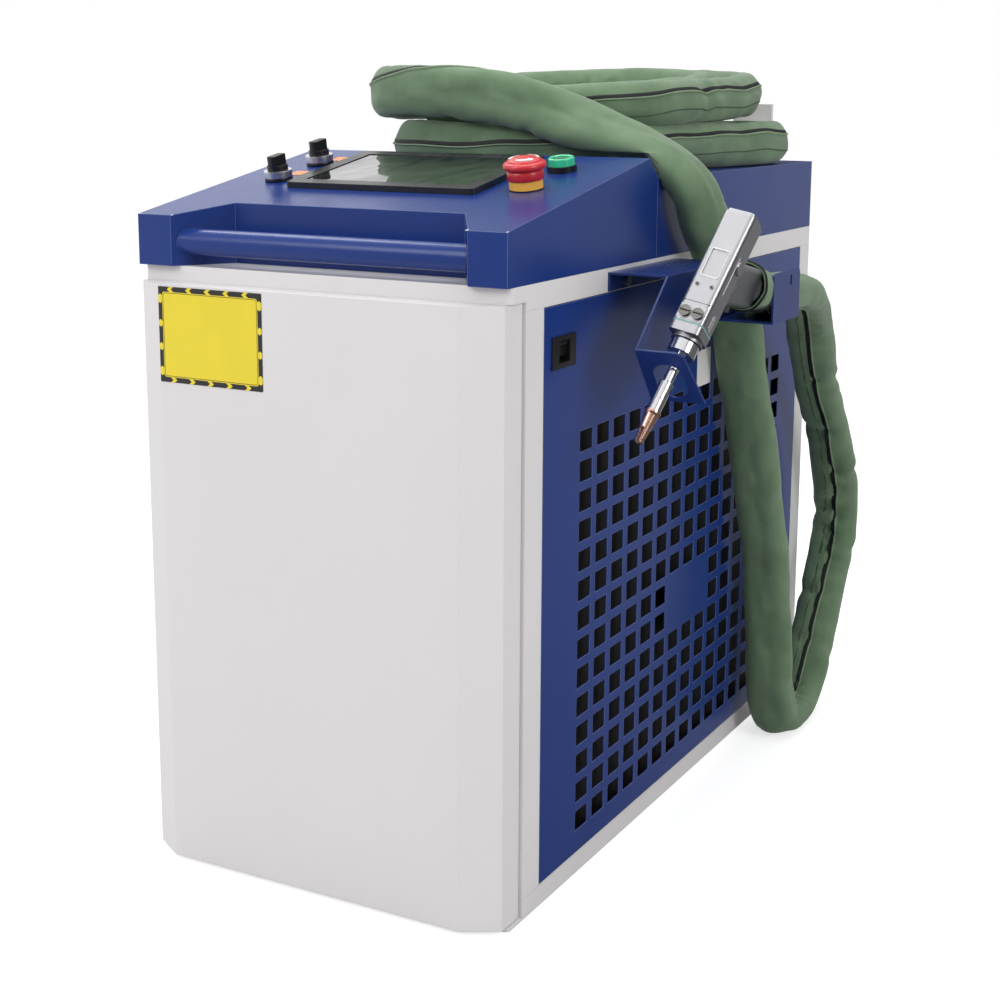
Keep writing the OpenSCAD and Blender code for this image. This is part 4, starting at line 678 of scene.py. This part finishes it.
# cloth resting on the console, the deck and the floor is pressed flat on them
def pressedOn(point, shape):
    x, y, z = point[0] * 1000, (point[1] + hoseRoute["caseHalf"]) * 1000, point[2] * 1000
    clear = shape["clear"]
    top = shape["slopeFoot"] + shape["slope"] * y if y < shape["ridgeY"] else shape["deckZ"]
    sunk, past = top + clear - z, shape["halfWide"] + clear - abs(x)
    if past > 0 and 0 < y < shape["long"] and sunk > 0:
        if past < sunk:
            x = math.copysign(shape["halfWide"] + clear, x)
        else:
            z = top + clear
    return np.array((x / 1000, y / 1000 - hoseRoute["caseHalf"], max(z, clear) / 1000))


def onSleeve(i, angle, out=0.0):
    r = sleeveRadius(i, angle) + out
    point = ringLine[i] + (hoseN[i] * math.cos(angle) + hoseB[i] * math.sin(angle)) * r
    return pressedOn(point, solidShape)


# faces of a tube or strip made of rows of points, with its two ends closed
def tubeFaces(rows, size):
    faces = []
    for r in range(rows - 1):
        for k in range(size):
            m = (k + 1) % size
            faces.append((r * size + k, r * size + m, (r + 1) * size + m, (r + 1) * size + k))
    return faces + [tuple(reversed(range(size))), tuple((rows - 1) * size + k for k in range(size))]


# the sleeve, with a map of metres along it and round it for the weave
def sleeveTube(name, sides):
    count = len(ringLine)
    turns = [2 * math.pi * k / sides for k in range(sides)]
    verts = [onSleeve(i, zipAngle[i] + turn) for i in range(count) for turn in turns]
    uvs = []
    for u0, u1 in zip(ringAt, ringAt[1:]):
        for k in range(sides):
            v0, v1 = sleeve["girth"] * k / sides, sleeve["girth"] * (k + 1) / sides
            uvs += [(u0, v0), (u0, v1), (u1, v1), (u1, v0)]
    uvs += [(0, 0)] * (2 * sides)
    mesh = meshFrom(name, verts, tubeFaces(count, sides))
    layer = mesh.uv_layers.new(name="girth")
    layer.data.foreach_set("uv", [c for uv in uvs for c in uv])
    return mesh


hoseSleeve = newPiece("hoseSleeve", sleeveTube("hoseSleeve", sleeve["sides"]), "sleeveCloth", "cabinet")
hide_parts("hose_coil", "hose_run")

zipper = {
    # strips on the sleeve: half width, lowest and highest over the cloth, way round from the zip, finish
    "zipTape": (0.0023, -0.0008, 0.0005, 0, "zipCloth"),
    "zipLip": (0.0009, -0.001, 0.0019, 0.0030, "lipCloth"),
    "sideSeam": (0.0007, -0.0008, 0.0005, 0.0215, "threadCloth"),
    "loopSeam": (0.0005, -0.0008, 0.0005, -0.0095, "threadCloth"),
    "columns": 6, "crown": 0.6, "leastRadius": 0.015, "step": 0.002,
    "sway": 0.2, "swayWaves": 14, "swaySeed": 3.1,
    # rings left free at the two ends, the coil's last metres without a side seam, the loop seam's start
    "from": 6, "to": 14, "seamStop": 0.45, "loopPlace": (248, 624, 18.5),
}


# the angle a given way round the girth from the zip, which sways a little
def besideZip(i, way):
    wave = noise.noise(Vector((ringAt[i] * zipper["swayWaves"], zipper["swaySeed"], 0)))
    angle, left = zipAngle[i] + zipper["sway"] * wave, abs(way)
    while left > 0:
        step = min(left, zipper["step"])
        angle += math.copysign(step, way) / sleeveRadius(i, angle)
        left -= step
    return angle


# a strip lying on the sleeve: closed section with a crowned top, swept along it
def sleeveStrip(name, first, last):
    half, low, high, way, finish = zipper[name]
    columns, verts = zipper["columns"], []
    steps = [2 * k / columns - 1 for k in range(columns + 1)]
    crown = [(s, high * (1 - zipper["crown"] * s ** 4)) for s in reversed(steps)]
    for i in range(first, last):
        mid = besideZip(i, way)
        reach = half / max(zipper["leastRadius"], sleeveRadius(i, mid))
        verts += [onSleeve(i, mid + reach * s, low) for s in steps]
        verts += [onSleeve(i, mid + reach * s, up) for s, up in crown]
    return newPiece(name, meshFrom(name, verts, tubeFaces(last - first, 2 * (columns + 1))), finish)


lastRing = len(ringLine) - zipper["to"]
seamEnd = int(np.searchsorted(ringAt, coilEndAt - zipper["seamStop"]))
loopStart = int(np.searchsorted(ringAt, along(zipper["loopPlace"])))
zipTape = sleeveStrip("zipTape", zipper["from"], lastRing)
zipLip = sleeveStrip("zipLip", zipper["from"], lastRing)
sideSeam = sleeveStrip("sideSeam", zipper["from"], seamEnd)
loopSeam = sleeveStrip("loopSeam", loopStart, lastRing)

# the cuff pulled over the grip, with dark piping: distances back along the hose and from its middle
cuff = {
    "profile": [(0.006, 0.0206), (0.000, 0.0222), (-0.008, 0.0232), (-0.015, 0.0239), (-0.0178, 0.0236),
                (-0.0178, 0.0222), (-0.010, 0.0214), (0.000, 0.0200), (0.006, 0.0196)],
    "pipingAt": -0.0165, "pipingReach": 0.0242, "piping": 0.0015, "pipingSides": 8, "sides": 56,
    # ripple along the hose: height, waves round the cuff, share of the finer ones, share going outwards
    "ripple": 0.0009, "waves": (3, 7), "fineShare": 0.6, "outShare": 0.4,
}


def cuffRing(name, profile, finish):
    end, way = ringLine[-1], -hoseT[-1]
    one, two = hoseN[-1], hoseB[-1]
    verts, faces, sides, n = [], [], cuff["sides"], len(profile)
    slow, quick = cuff["waves"]
    for s in range(sides):
        t = 2 * math.pi * s / sides
        wave = cuff["ripple"] * (math.sin(slow * t + 1) + cuff["fineShare"] * math.sin(quick * t))
        for back, r in profile:
            out = (one * math.cos(t) + two * math.sin(t)) * (r + wave * cuff["outShare"])
            verts.append(end + way * (back + wave) + out)
    for s in range(sides):
        for k in range(n):
            m, q = (s + 1) % sides, (k + 1) % n
            faces.append((s * n + k, s * n + q, m * n + q, m * n + k))
    return newPiece(name, meshFrom(name, verts, faces), finish)


pipingProfile = []
for k in range(cuff["pipingSides"]):
    t = 2 * math.pi * k / cuff["pipingSides"]
    pipingProfile.append((cuff["pipingAt"] + cuff["piping"] * math.sin(t),
                          cuff["pipingReach"] + cuff["piping"] * math.cos(t)))
sleeveCuff = cuffRing("sleeveCuff", cuff["profile"], "sleeveCloth")
cuffPiping = cuffRing("cuffPiping", pipingProfile, "zipCloth")
print("sleeve made,", round(hoseLength, 2), "m")

# places for small parts: a point, two ways along the face and one out of it, all in millimetres
slopeAngle = math.radians(10.0975)
gunWays = ((0.98054, -0.06945, -0.18364), (0.19081, 0.55741, 0.80801), (0.04624, -0.82733, 0.55981))
places = {
    "slope": ((0, -395, 640), (1, 0, 0), (0, math.cos(slopeAngle), math.sin(slopeAngle)),
              (0, -math.sin(slopeAngle), math.cos(slopeAngle))),
    "cover": ((0, -413.6, 0), (1, 0, 0), (0, 0, 1), (0, -1, 0)),
    "rightSide": ((200, -395, 0), (0, 1, 0), (0, 0, 1), (1, 0, 0)),
    "rear": ((0, 395, 0), (-1, 0, 0), (0, 0, 1), (0, 1, 0)),
    "gunFace": ((276.8, -303.6, 458.3), gunWays[0], gunWays[1], gunWays[2]),
    "gunSide": ((291.2, -289.8, 445.4), gunWays[2], gunWays[1], gunWays[0]),
}


def onPlace(place, a, b, c):
    origin, one, two, three = (Vector(v) for v in places[place])
    return (origin + one * a + two * b + three * c) / 1000


def roundedBox(a0, b0, a1, b1, r, steps=5):
    corners = ((a1 - r, b0 + r, -90), (a1 - r, b1 - r, 0), (a0 + r, b1 - r, 90), (a0 + r, b0 + r, 180))
    outline = []
    for ca, cb, start in corners:
        for k in range(steps + 1):
            t = math.radians(start + 90 * k / steps)
            outline.append((ca + r * math.cos(t), cb + r * math.sin(t)))
    return outline


def squareBox(a0, b0, a1, b1):
    return [(a0, b0), (a1, b0), (a1, b1), (a0, b1)]


def circle(a, b, r, sides=28):
    ways = [2 * math.pi * k / sides for k in range(sides)]
    return [(a + r * math.cos(t), b + r * math.sin(t)) for t in ways]


# thin plates: closed prisms over the outlines, given anticlockwise
def flatPiece(name, place, outlines, heights, finish, body="cabinet"):
    verts, faces = [], []
    for outline in outlines:
        n, first = len(outline), len(verts)
        verts += [onPlace(place, a, b, c) for c in heights for a, b in outline]
        faces += [tuple(first + k for k in reversed(range(n))), tuple(first + n + k for k in range(n))]
        for k in range(n):
            m = (k + 1) % n
            faces.append((first + k, first + m, first + n + m, first + n + k))
    return newPiece(name, meshFrom(name, verts, faces, False), finish, body)


# a frame: closed band between two outlines with equal counts of points
def framePiece(name, place, outer, inner, heights, finish):
    low, high = heights
    verts, faces, n = [], [], len(outer)
    for points, c in ((outer, low), (outer, high), (inner, high), (inner, low)):
        verts += [onPlace(place, a, b, c) for a, b in points]
    for ring in range(4):
        low0, high0 = ring * n, (ring + 1) % 4 * n
        faces += [(low0 + k, low0 + (k + 1) % n, high0 + (k + 1) % n, high0 + k) for k in range(n)]
    return newPiece(name, meshFrom(name, verts, faces, False), finish)


# a turned ring: a closed profile of radius and height swung round the face's own normal
def turnedPiece(name, place, centre, profile, finish, body="cabinet", sides=48):
    verts, faces, n = [], [], len(profile)
    a, b = centre
    for s in range(sides):
        t = 2 * math.pi * s / sides
        verts += [onPlace(place, a + r * math.cos(t), b + r * math.sin(t), c) for r, c in profile]
    for s in range(sides):
        m = (s + 1) % sides
        for k in range(n):
            q = (k + 1) % n
            faces.append((s * n + k, m * n + k, m * n + q, s * n + q))
    return newPiece(name, meshFrom(name, verts, faces), finish, body)


# the yellow plate: black border with yellow arrows in it, and a fine line inside
sign = {
    "box": (-162.4, 484.5, -43.4, 575.0), "corner": 0.6, "edge": 4.8, "side": 4.4, "inner": 3.0,
    "gap": 0.9, "line": 0.45,
    # arrows in the upper and the lower border, and pointed bars in the sides, counted down from the top
    "topFirst": 14.4, "bottomFirst": 16.0, "pitch": 21.6, "count": 5, "arrow": 7.6, "tip": 3.0,
    "sides": [(6.8, 16.0), (31.0, 38.2), (53.0, 60.5), (75.5, 84.5)], "sideTip": 1.6,
    "plateHeights": (-0.2, 0.30), "borderHeights": (-0.1, 0.42), "arrowHeights": (0.0, 0.52),
    "lineHeights": (0.0, 0.40),
}


def pointingLeft(mid, half, tip, low, high):
    level = (low + high) / 2
    return [(mid - half + tip, low), (mid + half, low), (mid + half - tip, level), (mid + half, high),
            (mid - half + tip, high), (mid - half, level)]


def pointingRight(mid, half, tip, low, high):
    level = (low + high) / 2
    return [(mid - half, low), (mid + half - tip, low), (mid + half, level), (mid + half - tip, high),
            (mid - half, high), (mid - half + tip, level)]


def pointedBar(left, right, low, high, tip):
    mid = (left + right) / 2
    return [(left, low + tip), (mid, low), (right, low + tip),
            (right, high - tip), (mid, high), (left, high - tip)]


def signPieces(look):
    left, low, right, high = look["box"]

    def inset(across, up, corner):
        return roundedBox(left + across, low + up, right - across, high - up, corner)

    edge, side, line, corner = look["edge"], look["side"], look["line"], look["inner"]
    outer, inner = inset(0, 0, look["corner"]), inset(side, edge, corner)
    flatPiece("signPlate", "cover", [outer], look["plateHeights"], "signYellow")
    framePiece("signBorder", "cover", outer, inner, look["borderHeights"], "signBlack")
    half, tip, arrows = look["arrow"] / 2, look["tip"], []
    for k in range(look["count"]):
        upper = left + look["topFirst"] + k * look["pitch"]
        arrows.append(pointingLeft(upper, half, tip, high - edge, high))
        lower = left + look["bottomFirst"] + k * look["pitch"]
        arrows.append(pointingRight(lower, half, tip, low, low + edge))
    for barLeft, barRight in ((left, left + side), (right - side, right)):
        for top, bottom in look["sides"]:
            arrows.append(pointedBar(barLeft, barRight, high - bottom, high - top, look["sideTip"]))
    flatPiece("signArrows", "cover", arrows, look["arrowHeights"], "signYellow")
    across, up = side + look["gap"], edge + look["gap"]
    outer, inner = inset(across, up, corner), inset(across + line, up + line, corner - line)
    framePiece("signLine", "cover", outer, inner, look["lineHeights"], "signBlack")


signPieces(sign)

# trim of the switches and buttons, with bare stickers; profiles are distances from the axis and heights
switchTrim = {
    "selectors": {"front": (-145.0, 153.5), "rear": (-145.0, 227.5)},
    "selectorSeal": [(12.6, 0.0), (13.9, 0.0), (14.1, 0.5), (14.1, 3.0), (13.8, 3.4), (12.6, 3.4)],
    "stop": (137.0, 154.5),
    "stopSkirt": [(16.4, 9.6), (17.0, 9.2), (17.5, 9.6), (17.3, 15.0), (17.2, 18.9), (16.4, 18.9)],
    "stopSeal": [(15.6, 0.0), (16.5, 0.0), (16.5, 0.7), (16.2, 1.0), (15.6, 1.0)],
    "start": (136.0, 231.0),
    "startRim": [(9.4, 11.6), (12.9, 11.6), (12.95, 12.6), (12.2, 13.6), (11.0, 13.8), (9.6, 12.8)],
    "startWell": 9.5, "wellHeights": (11.9, 12.15), "roundSides": 64,
    "stickers": [(-142, 184), (-137, 253)], "stickerHalf": (8, 9), "stickerHeights": (-0.1, 0.25),
    "label": (430, 442, 468, 482), "labelHeights": (-0.1, 0.3), "corner": 1.0,
}


def switchPieces(look):
    for side, centre in look["selectors"].items():
        turnedPiece(side + "SelectorSeal", "slope", centre, look["selectorSeal"], "blackPlastic")
    stop, start, sides, corner = look["stop"], look["start"], look["roundSides"], look["corner"]
    turnedPiece("stopSkirt", "slope", stop, look["stopSkirt"], "redPlastic", "estop_plunger", sides)
    turnedPiece("stopSeal", "slope", stop, look["stopSeal"], "darkHole", "cabinet", sides)
    turnedPiece("startRim", "slope", start, look["startRim"], "greenLens", "start_button", sides)
    # the darker green disc in the button's well is painted shade
    well = circle(*start, look["startWell"])
    flatPiece("startWell", "slope", [well], look["wellHeights"], "wellShadeGreen", "start_button")
    wide, tall = look["stickerHalf"]
    stickers = [roundedBox(a - wide, b - tall, a + wide, b + tall, corner) for a, b in look["stickers"]]
    flatPiece("plainStickers", "slope", stickers, look["stickerHeights"], "signOrange")
    label = roundedBox(*look["label"], corner)
    flatPiece("plainLabel", "rightSide", [label], look["labelHeights"], "signWhite")


# generic turning arrows painted on the stop button's cap: three curved strokes with heads, in degrees
# round its axis and millimetres
capArrow = {
    "reach": 12.6, "turns": (20, 140, 260), "sweep": 82, "steps": 18, "headSteps": 5,
    "half": 1.3, "headHalf": 2.6, "tipHalf": 0.05, "over": 0.14, "under": -0.6,
    # the cap's dome starts at this height over the slope, and is read from corners this near
    "domeFrom": 22.4, "near": 2.5,
}


# height of the cap over the slope at distances from its axis, read from the solid
def capHeights(look):
    x, v = switchTrim["stop"]
    origin, one, two, three = (Vector(w) for w in places["slope"])
    rows = []
    cap = solids["estop_cap"]
    for corner in cap.data.vertices:
        p = cap.matrix_world @ corner.co * 1000 - origin
        a, b, c = p.dot(one) - x, p.dot(two) - v, p.dot(three)
        if c > look["domeFrom"]:
            rows.append((math.hypot(a, b), c))
    rows.sort()
    return np.array([r for r, c in rows]), np.array([c for r, c in rows])


def capArrows(look):
    x, v = switchTrim["stop"]
    reach, height = capHeights(look)

    def top(r):
        near = height[np.abs(reach - r) < look["near"]]
        return float(np.max(near)) if len(near) else float(np.interp(r, reach, height))

    verts, faces = [], []
    steps, head, mid = look["steps"], look["headSteps"], look["reach"]
    for turn in look["turns"]:
        first = len(verts)
        for k in range(steps + 1):
            t = math.radians(turn + look["sweep"] * k / steps)
            half = look["half"]
            if k >= steps - head:
                half = look["headHalf"] * (steps - k) / head + look["tipHalf"]
            for r, up in ((mid - half, look["over"]), (mid + half, look["over"]),
                          (mid + half, look["under"]), (mid - half, look["under"])):
                verts.append(onPlace("slope", x + r * math.cos(t), v + r * math.sin(t), top(r) + up))
        for k in range(first, first + 4 * steps, 4):
            for m in range(4):
                q = (m + 1) % 4
                faces.append((k + m, k + q, k + 4 + q, k + 4 + m))
        last = first + 4 * steps
        faces += [tuple(first + m for m in (3, 2, 1, 0)), tuple(last + m for m in range(4))]
    newPiece("stopArrows", meshFrom("stopArrows", verts, faces, False), "signWhite", "estop_cap")


switchPieces(switchTrim)
capArrows(capArrow)

# trim of the gun, along its face and its side
gunTrim = {
    "window": (-9.4, 164.6, 9.4, 194.9), "windowWidth": 1.3, "windowCorners": (1.6, 0.8),
    "windowHeights": (-0.4, 0.45),
    "screws": [(-7.4, 155.8), (7.4, 155.8)], "screw": 1.9, "screwHeights": (-0.3, 0.7),
    "socket": 0.95, "socketSides": 6, "socketHeights": (0.3, 0.78),
    "seam": (-14.2, 138.3, 14.2, 138.75), "seamHeights": (-0.3, 0.08),
    "slot": (-3.0, 119.5, 4.0, 137.0, 3.4), "slotHeights": (-0.3, 0.12),
    "groove": (6.2, 156.0, 7.4, 196.0, 0.55), "grooveHeights": (-0.3, 0.10),
    "dial": (-2.0, 189.0), "dialSides": 40, "dialProfile": [(5.2, 0.0), (7.3, 0.0), (7.1, 0.8), (5.6, 0.9)],
    "knobs": {"left": (-6.5, 127.0), "right": (6.5, 127.0)}, "knobSlotHalf": (4.6, 0.45),
    "knobSlotHeights": (1.6, 2.5),
}


def gunPieces(look):
    a0, s0, a1, s1 = look["window"]
    w, (outerCorner, innerCorner) = look["windowWidth"], look["windowCorners"]
    outer = roundedBox(a0, s0, a1, s1, outerCorner)
    inner = roundedBox(a0 + w, s0 + w, a1 - w, s1 - w, innerCorner)
    framePiece("gunWindowFrame", "gunFace", outer, inner, look["windowHeights"], "brightMetal")
    screws = [circle(a, s, look["screw"]) for a, s in look["screws"]]
    # the sockets and the knob slots are dark sheets: painted shade in these recesses
    sockets = [circle(a, s, look["socket"], look["socketSides"]) for a, s in look["screws"]]
    flatPiece("gunScrews", "gunFace", screws, look["screwHeights"], "knobChrome")
    flatPiece("gunSocketShade", "gunFace", sockets, look["socketHeights"], "darkHole")
    flatPiece("gunSeam", "gunFace", [squareBox(*look["seam"])], look["seamHeights"], "darkHole")
    flatPiece("gunSideSlot", "gunSide", [roundedBox(*look["slot"])], look["slotHeights"], "brightMetal")
    flatPiece("gunSideGroove", "gunSide", [roundedBox(*look["groove"])], look["grooveHeights"], "signWhite")
    turnedPiece("gunDial", "gunSide", look["dial"], look["dialProfile"], "brightMetal",
                sides=look["dialSides"])
    wide, tall = look["knobSlotHalf"]
    for side, (a, s) in look["knobs"].items():
        slot = squareBox(a - wide, s - tall, a + wide, s + tall)
        flatPiece(side + "KnobSlotShade", "gunFace", [slot], look["knobSlotHeights"], "darkHole", side + "_lock")


gunPieces(gunTrim)

# screws and a bare plate on the back
rearTrim = {
    "screws": [(-166, 34), (166, 34), (-166, 295), (166, 295), (-166, 556), (166, 556)],
    "screw": 4.0, "screwHeights": (-0.2, 1.8),
    "socket": 2.0, "socketSides": 6, "socketHeights": (1.0, 1.9),
    "plate": (-150, 372, -70, 420), "plateCorner": 2.0, "plateHeights": (-0.1, 0.5),
}


def rearPieces(look):
    screws = [circle(a, b, look["screw"]) for a, b in look["screws"]]
    # the sockets are dark sheets: painted shade in these recesses
    sockets = [circle(a, b, look["socket"], look["socketSides"]) for a, b in look["screws"]]
    flatPiece("rearScrews", "rear", screws, look["screwHeights"], "brightMetal")
    flatPiece("rearSocketShade", "rear", sockets, look["socketHeights"], "darkHole")
    plate = roundedBox(*look["plate"], look["plateCorner"])
    flatPiece("rearPlate", "rear", [plate], look["plateHeights"], "brightMetal")


rearPieces(rearTrim)

# chipped coat at the console's front corners
chips = {
    "outlines": [
        [(198.2, 0.1), (199.9, 0.1), (199.9, 2.6), (199.0, 3.1)],
        [(158.6, 0.1), (160.6, 0.1), (160.9, 2.4), (159.7, 4.2), (158.9, 2.2)],
        [(-160.4, 0.1), (-158.9, 0.1), (-158.6, 1.6), (-159.8, 2.2)],
        [(-199.9, 0.1), (-194.0, 0.1), (-195.5, 0.9), (-199.9, 1.1)],
    ],
    "heights": (-0.3, 0.12),
}
flatPiece("wornChips", "slope", chips["outlines"], chips["heights"], "signWhite")
print("small parts made")

# finishes on the solids
solidFinishes = {
    "whiteCoat": ["base_frame", "floor_plate", "front_posts", "rear_posts", "top_frame", "front_cover",
                  "equipment_shelf", "hose_outlet"],
    "blueCoat": ["right_panel", "left_panel", "rear_panel", "console_shell", "rear_deck", "handle_bar"],
    "holderCoat": ["gun_holder"],
    "blackPlastic": ["right_latch_case", "left_latch_case", "right_latch_paddle", "left_latch_paddle",
                     "start_ring", "front_selector_knob", "rear_selector_knob", "gun_trigger"],
    "bezelPlastic": ["screen_bezel"],
    "screenGlass": ["screen_glass"],
    "amberPlastic": ["estop_base"],
    "redPlastic": ["estop_plunger", "estop_cap", "main_switch"],
    "greenLens": ["start_button"],
    "bareSteel": ["holder_screws", "power_supply"],
    "copperMetal": ["copper_nozzle"],
    "satinSteel": ["front_selector_base", "rear_selector_base"],
    "brightMetal": ["scale_tube", "clamp_ring"],
    "blastedAlloy": ["gun_head", "gun_body", "gun_window", "lens_drawer", "side_button"],
    "gripAlloy": ["gun_grip"],
    "knobChrome": ["left_lock_screw", "right_lock_screw"],
    "tealRubber": ["gun_gasket"],
    "lensGlass": ["lens_glass"],
    "filterMesh": ["filter_mesh"],
    "darkMetal": ["condenser", "fan_shroud", "front_fan", "rear_fan", "compressor", "laser_source"],
    "bluePlastic": ["water_pump", "filler_cap"],
    "tankPlastic": ["water_tank"],
}
for finish, names in solidFinishes.items():
    for nodeName in names:
        solid = solids[nodeName]
        for place in solid.material_slots:
            place.material = finishes[finish]
        if not solid.material_slots:
            solid.data.materials.append(finishes[finish])
print("solids finished")

# light, floor and backdrop
studio = {
    "ambient": 0.58,
    "floorSize": 30.0, "floorLift": 0.66, "floorColour": (0.64, 0.64, 0.64, 1), "floorCloud": 3.0,
    "floorTint": 1.03, "floorRough": 0.9, "floorDown": 0.0005,
    # shiny surfaces see the white backdrop at the left, above and behind, and a dim side at the right;
    # each pair is how far a direction leans that way where the white begins and where it is full
    "dim": 0.13, "left": (0.40, 0.58), "up": (0.45, 0.75), "rear": (0.80, 0.97), "rearRight": (0, 0.2),
    "rearLevel": 0.45,
    "lamps": {
        # name: place, aimed at, size, watts
        "frontSoftbox": ((-1.5, -3.2, 2.6), (0, 0, 0.4), 2.0, 52.0),
        "sideSoftbox": ((3.2, -1.0, 1.9), (0.1, 0, 0.4), 1.6, 32.0),
        "topSoftbox": ((0.0, 0.1, 3.0), (0, 0, 0.4), 2.2, 34.0),
        "leftSoftbox": ((-1.45, 0.45, 2.5), (0, -0.3, 0.6), 0.8, 10.0),
    },
}


def setWorld(look):
    world = bpy.data.worlds.new("studioWorld")
    bpy.context.scene.world = world
    world.use_nodes = True
    world.node_tree.nodes.clear()
    n = Nodes(world.node_tree)
    way = n.add("ShaderNodeSeparateXYZ", {"Vector": n.coords["Generated"]}).outputs

    def ramp(value, band, most=1.0):
        return n.spread(value, 0.0, most, *band, "SMOOTHSTEP")

    left = ramp(n.math("MULTIPLY", way["X"], -1), look["left"])
    above = ramp(way["Z"], look["up"])
    rear, right = ramp(way["Y"], look["rear"], look["rearLevel"]), ramp(way["X"], look["rearRight"])
    behind = n.math("MULTIPLY", rear, right)
    bright = n.math("MAXIMUM", n.math("MAXIMUM", left, above), behind)
    shiny = n.math("MINIMUM", n.math("ADD", bright, look["dim"]), 1.0)
    path = n.add("ShaderNodeLightPath").outputs
    clear = n.math("MAXIMUM", path["Is Camera Ray"], path["Is Transmission Ray"])
    rest = n.math("SUBTRACT", 1.0, n.math("MAXIMUM", clear, path["Is Glossy Ray"]))
    diffuse = n.math("MULTIPLY", rest, look["ambient"])
    glossy = n.math("MULTIPLY", path["Is Glossy Ray"], shiny)
    level = n.math("ADD", n.math("ADD", diffuse, glossy), clear)
    back = n.add("ShaderNodeBackground", {"Color": (1, 1, 1, 1), "Strength": level}).outputs[0]
    n.add("ShaderNodeOutputWorld", {"Surface": back})


def setFloor(look):
    half = look["floorSize"] / 2
    corners = [(-half, -half, 0), (half, -half, 0), (half, half, 0), (-half, half, 0)]
    mesh = meshFrom("floor", corners, [(0, 1, 2, 3)], False)
    n = Finish("floorPaper")
    path = n.add("ShaderNodeLightPath").outputs
    seen = n.math("MAXIMUM", path["Is Camera Ray"], path["Is Transmission Ray"])
    colour = look["floorColour"]
    n.surface({
        "Base Color": n.mixColour(n.noise(look["floorCloud"]), colour, n.tint(colour, look["floorTint"])),
        "Roughness": look["floorRough"],
        "Specular IOR Level": 0.0,
        "Emission Color": (1, 1, 1, 1),
        "Emission Strength": n.math("MULTIPLY", seen, look["floorLift"])})
    # shiny surfaces see the backdrop through the floor
    through = n.add("ShaderNodeBsdfTransparent").outputs[0]
    paper = n.shader.outputs[0]
    mix = n.add("ShaderNodeMixShader", {0: path["Is Glossy Ray"], 1: paper, 2: through})
    end = next(m for m in n.tree.nodes if m.type == "OUTPUT_MATERIAL")
    n.give(end.inputs["Surface"], mix.outputs[0])
    mesh.materials.append(n.mat)
    floor = bpy.data.objects.new("floor", mesh)
    bpy.context.scene.collection.objects.link(floor)
    floor.location.z = -look["floorDown"]


def setLamps(look):
    for name, (place, aim, size, watts) in look["lamps"].items():
        data = bpy.data.lights.new(name, "AREA")
        data.shape = "DISK"
        data.size = size
        data.energy = watts
        lamp = bpy.data.objects.new(name, data)
        bpy.context.scene.collection.objects.link(lamp)
        lamp.location = place
        lamp.rotation_euler = (Vector(aim) - Vector(place)).to_track_quat("-Z", "Y").to_euler()


setWorld(studio)
setFloor(studio)
setLamps(studio)
bpy.context.scene.view_settings.view_transform = "Standard"
print("studio set")
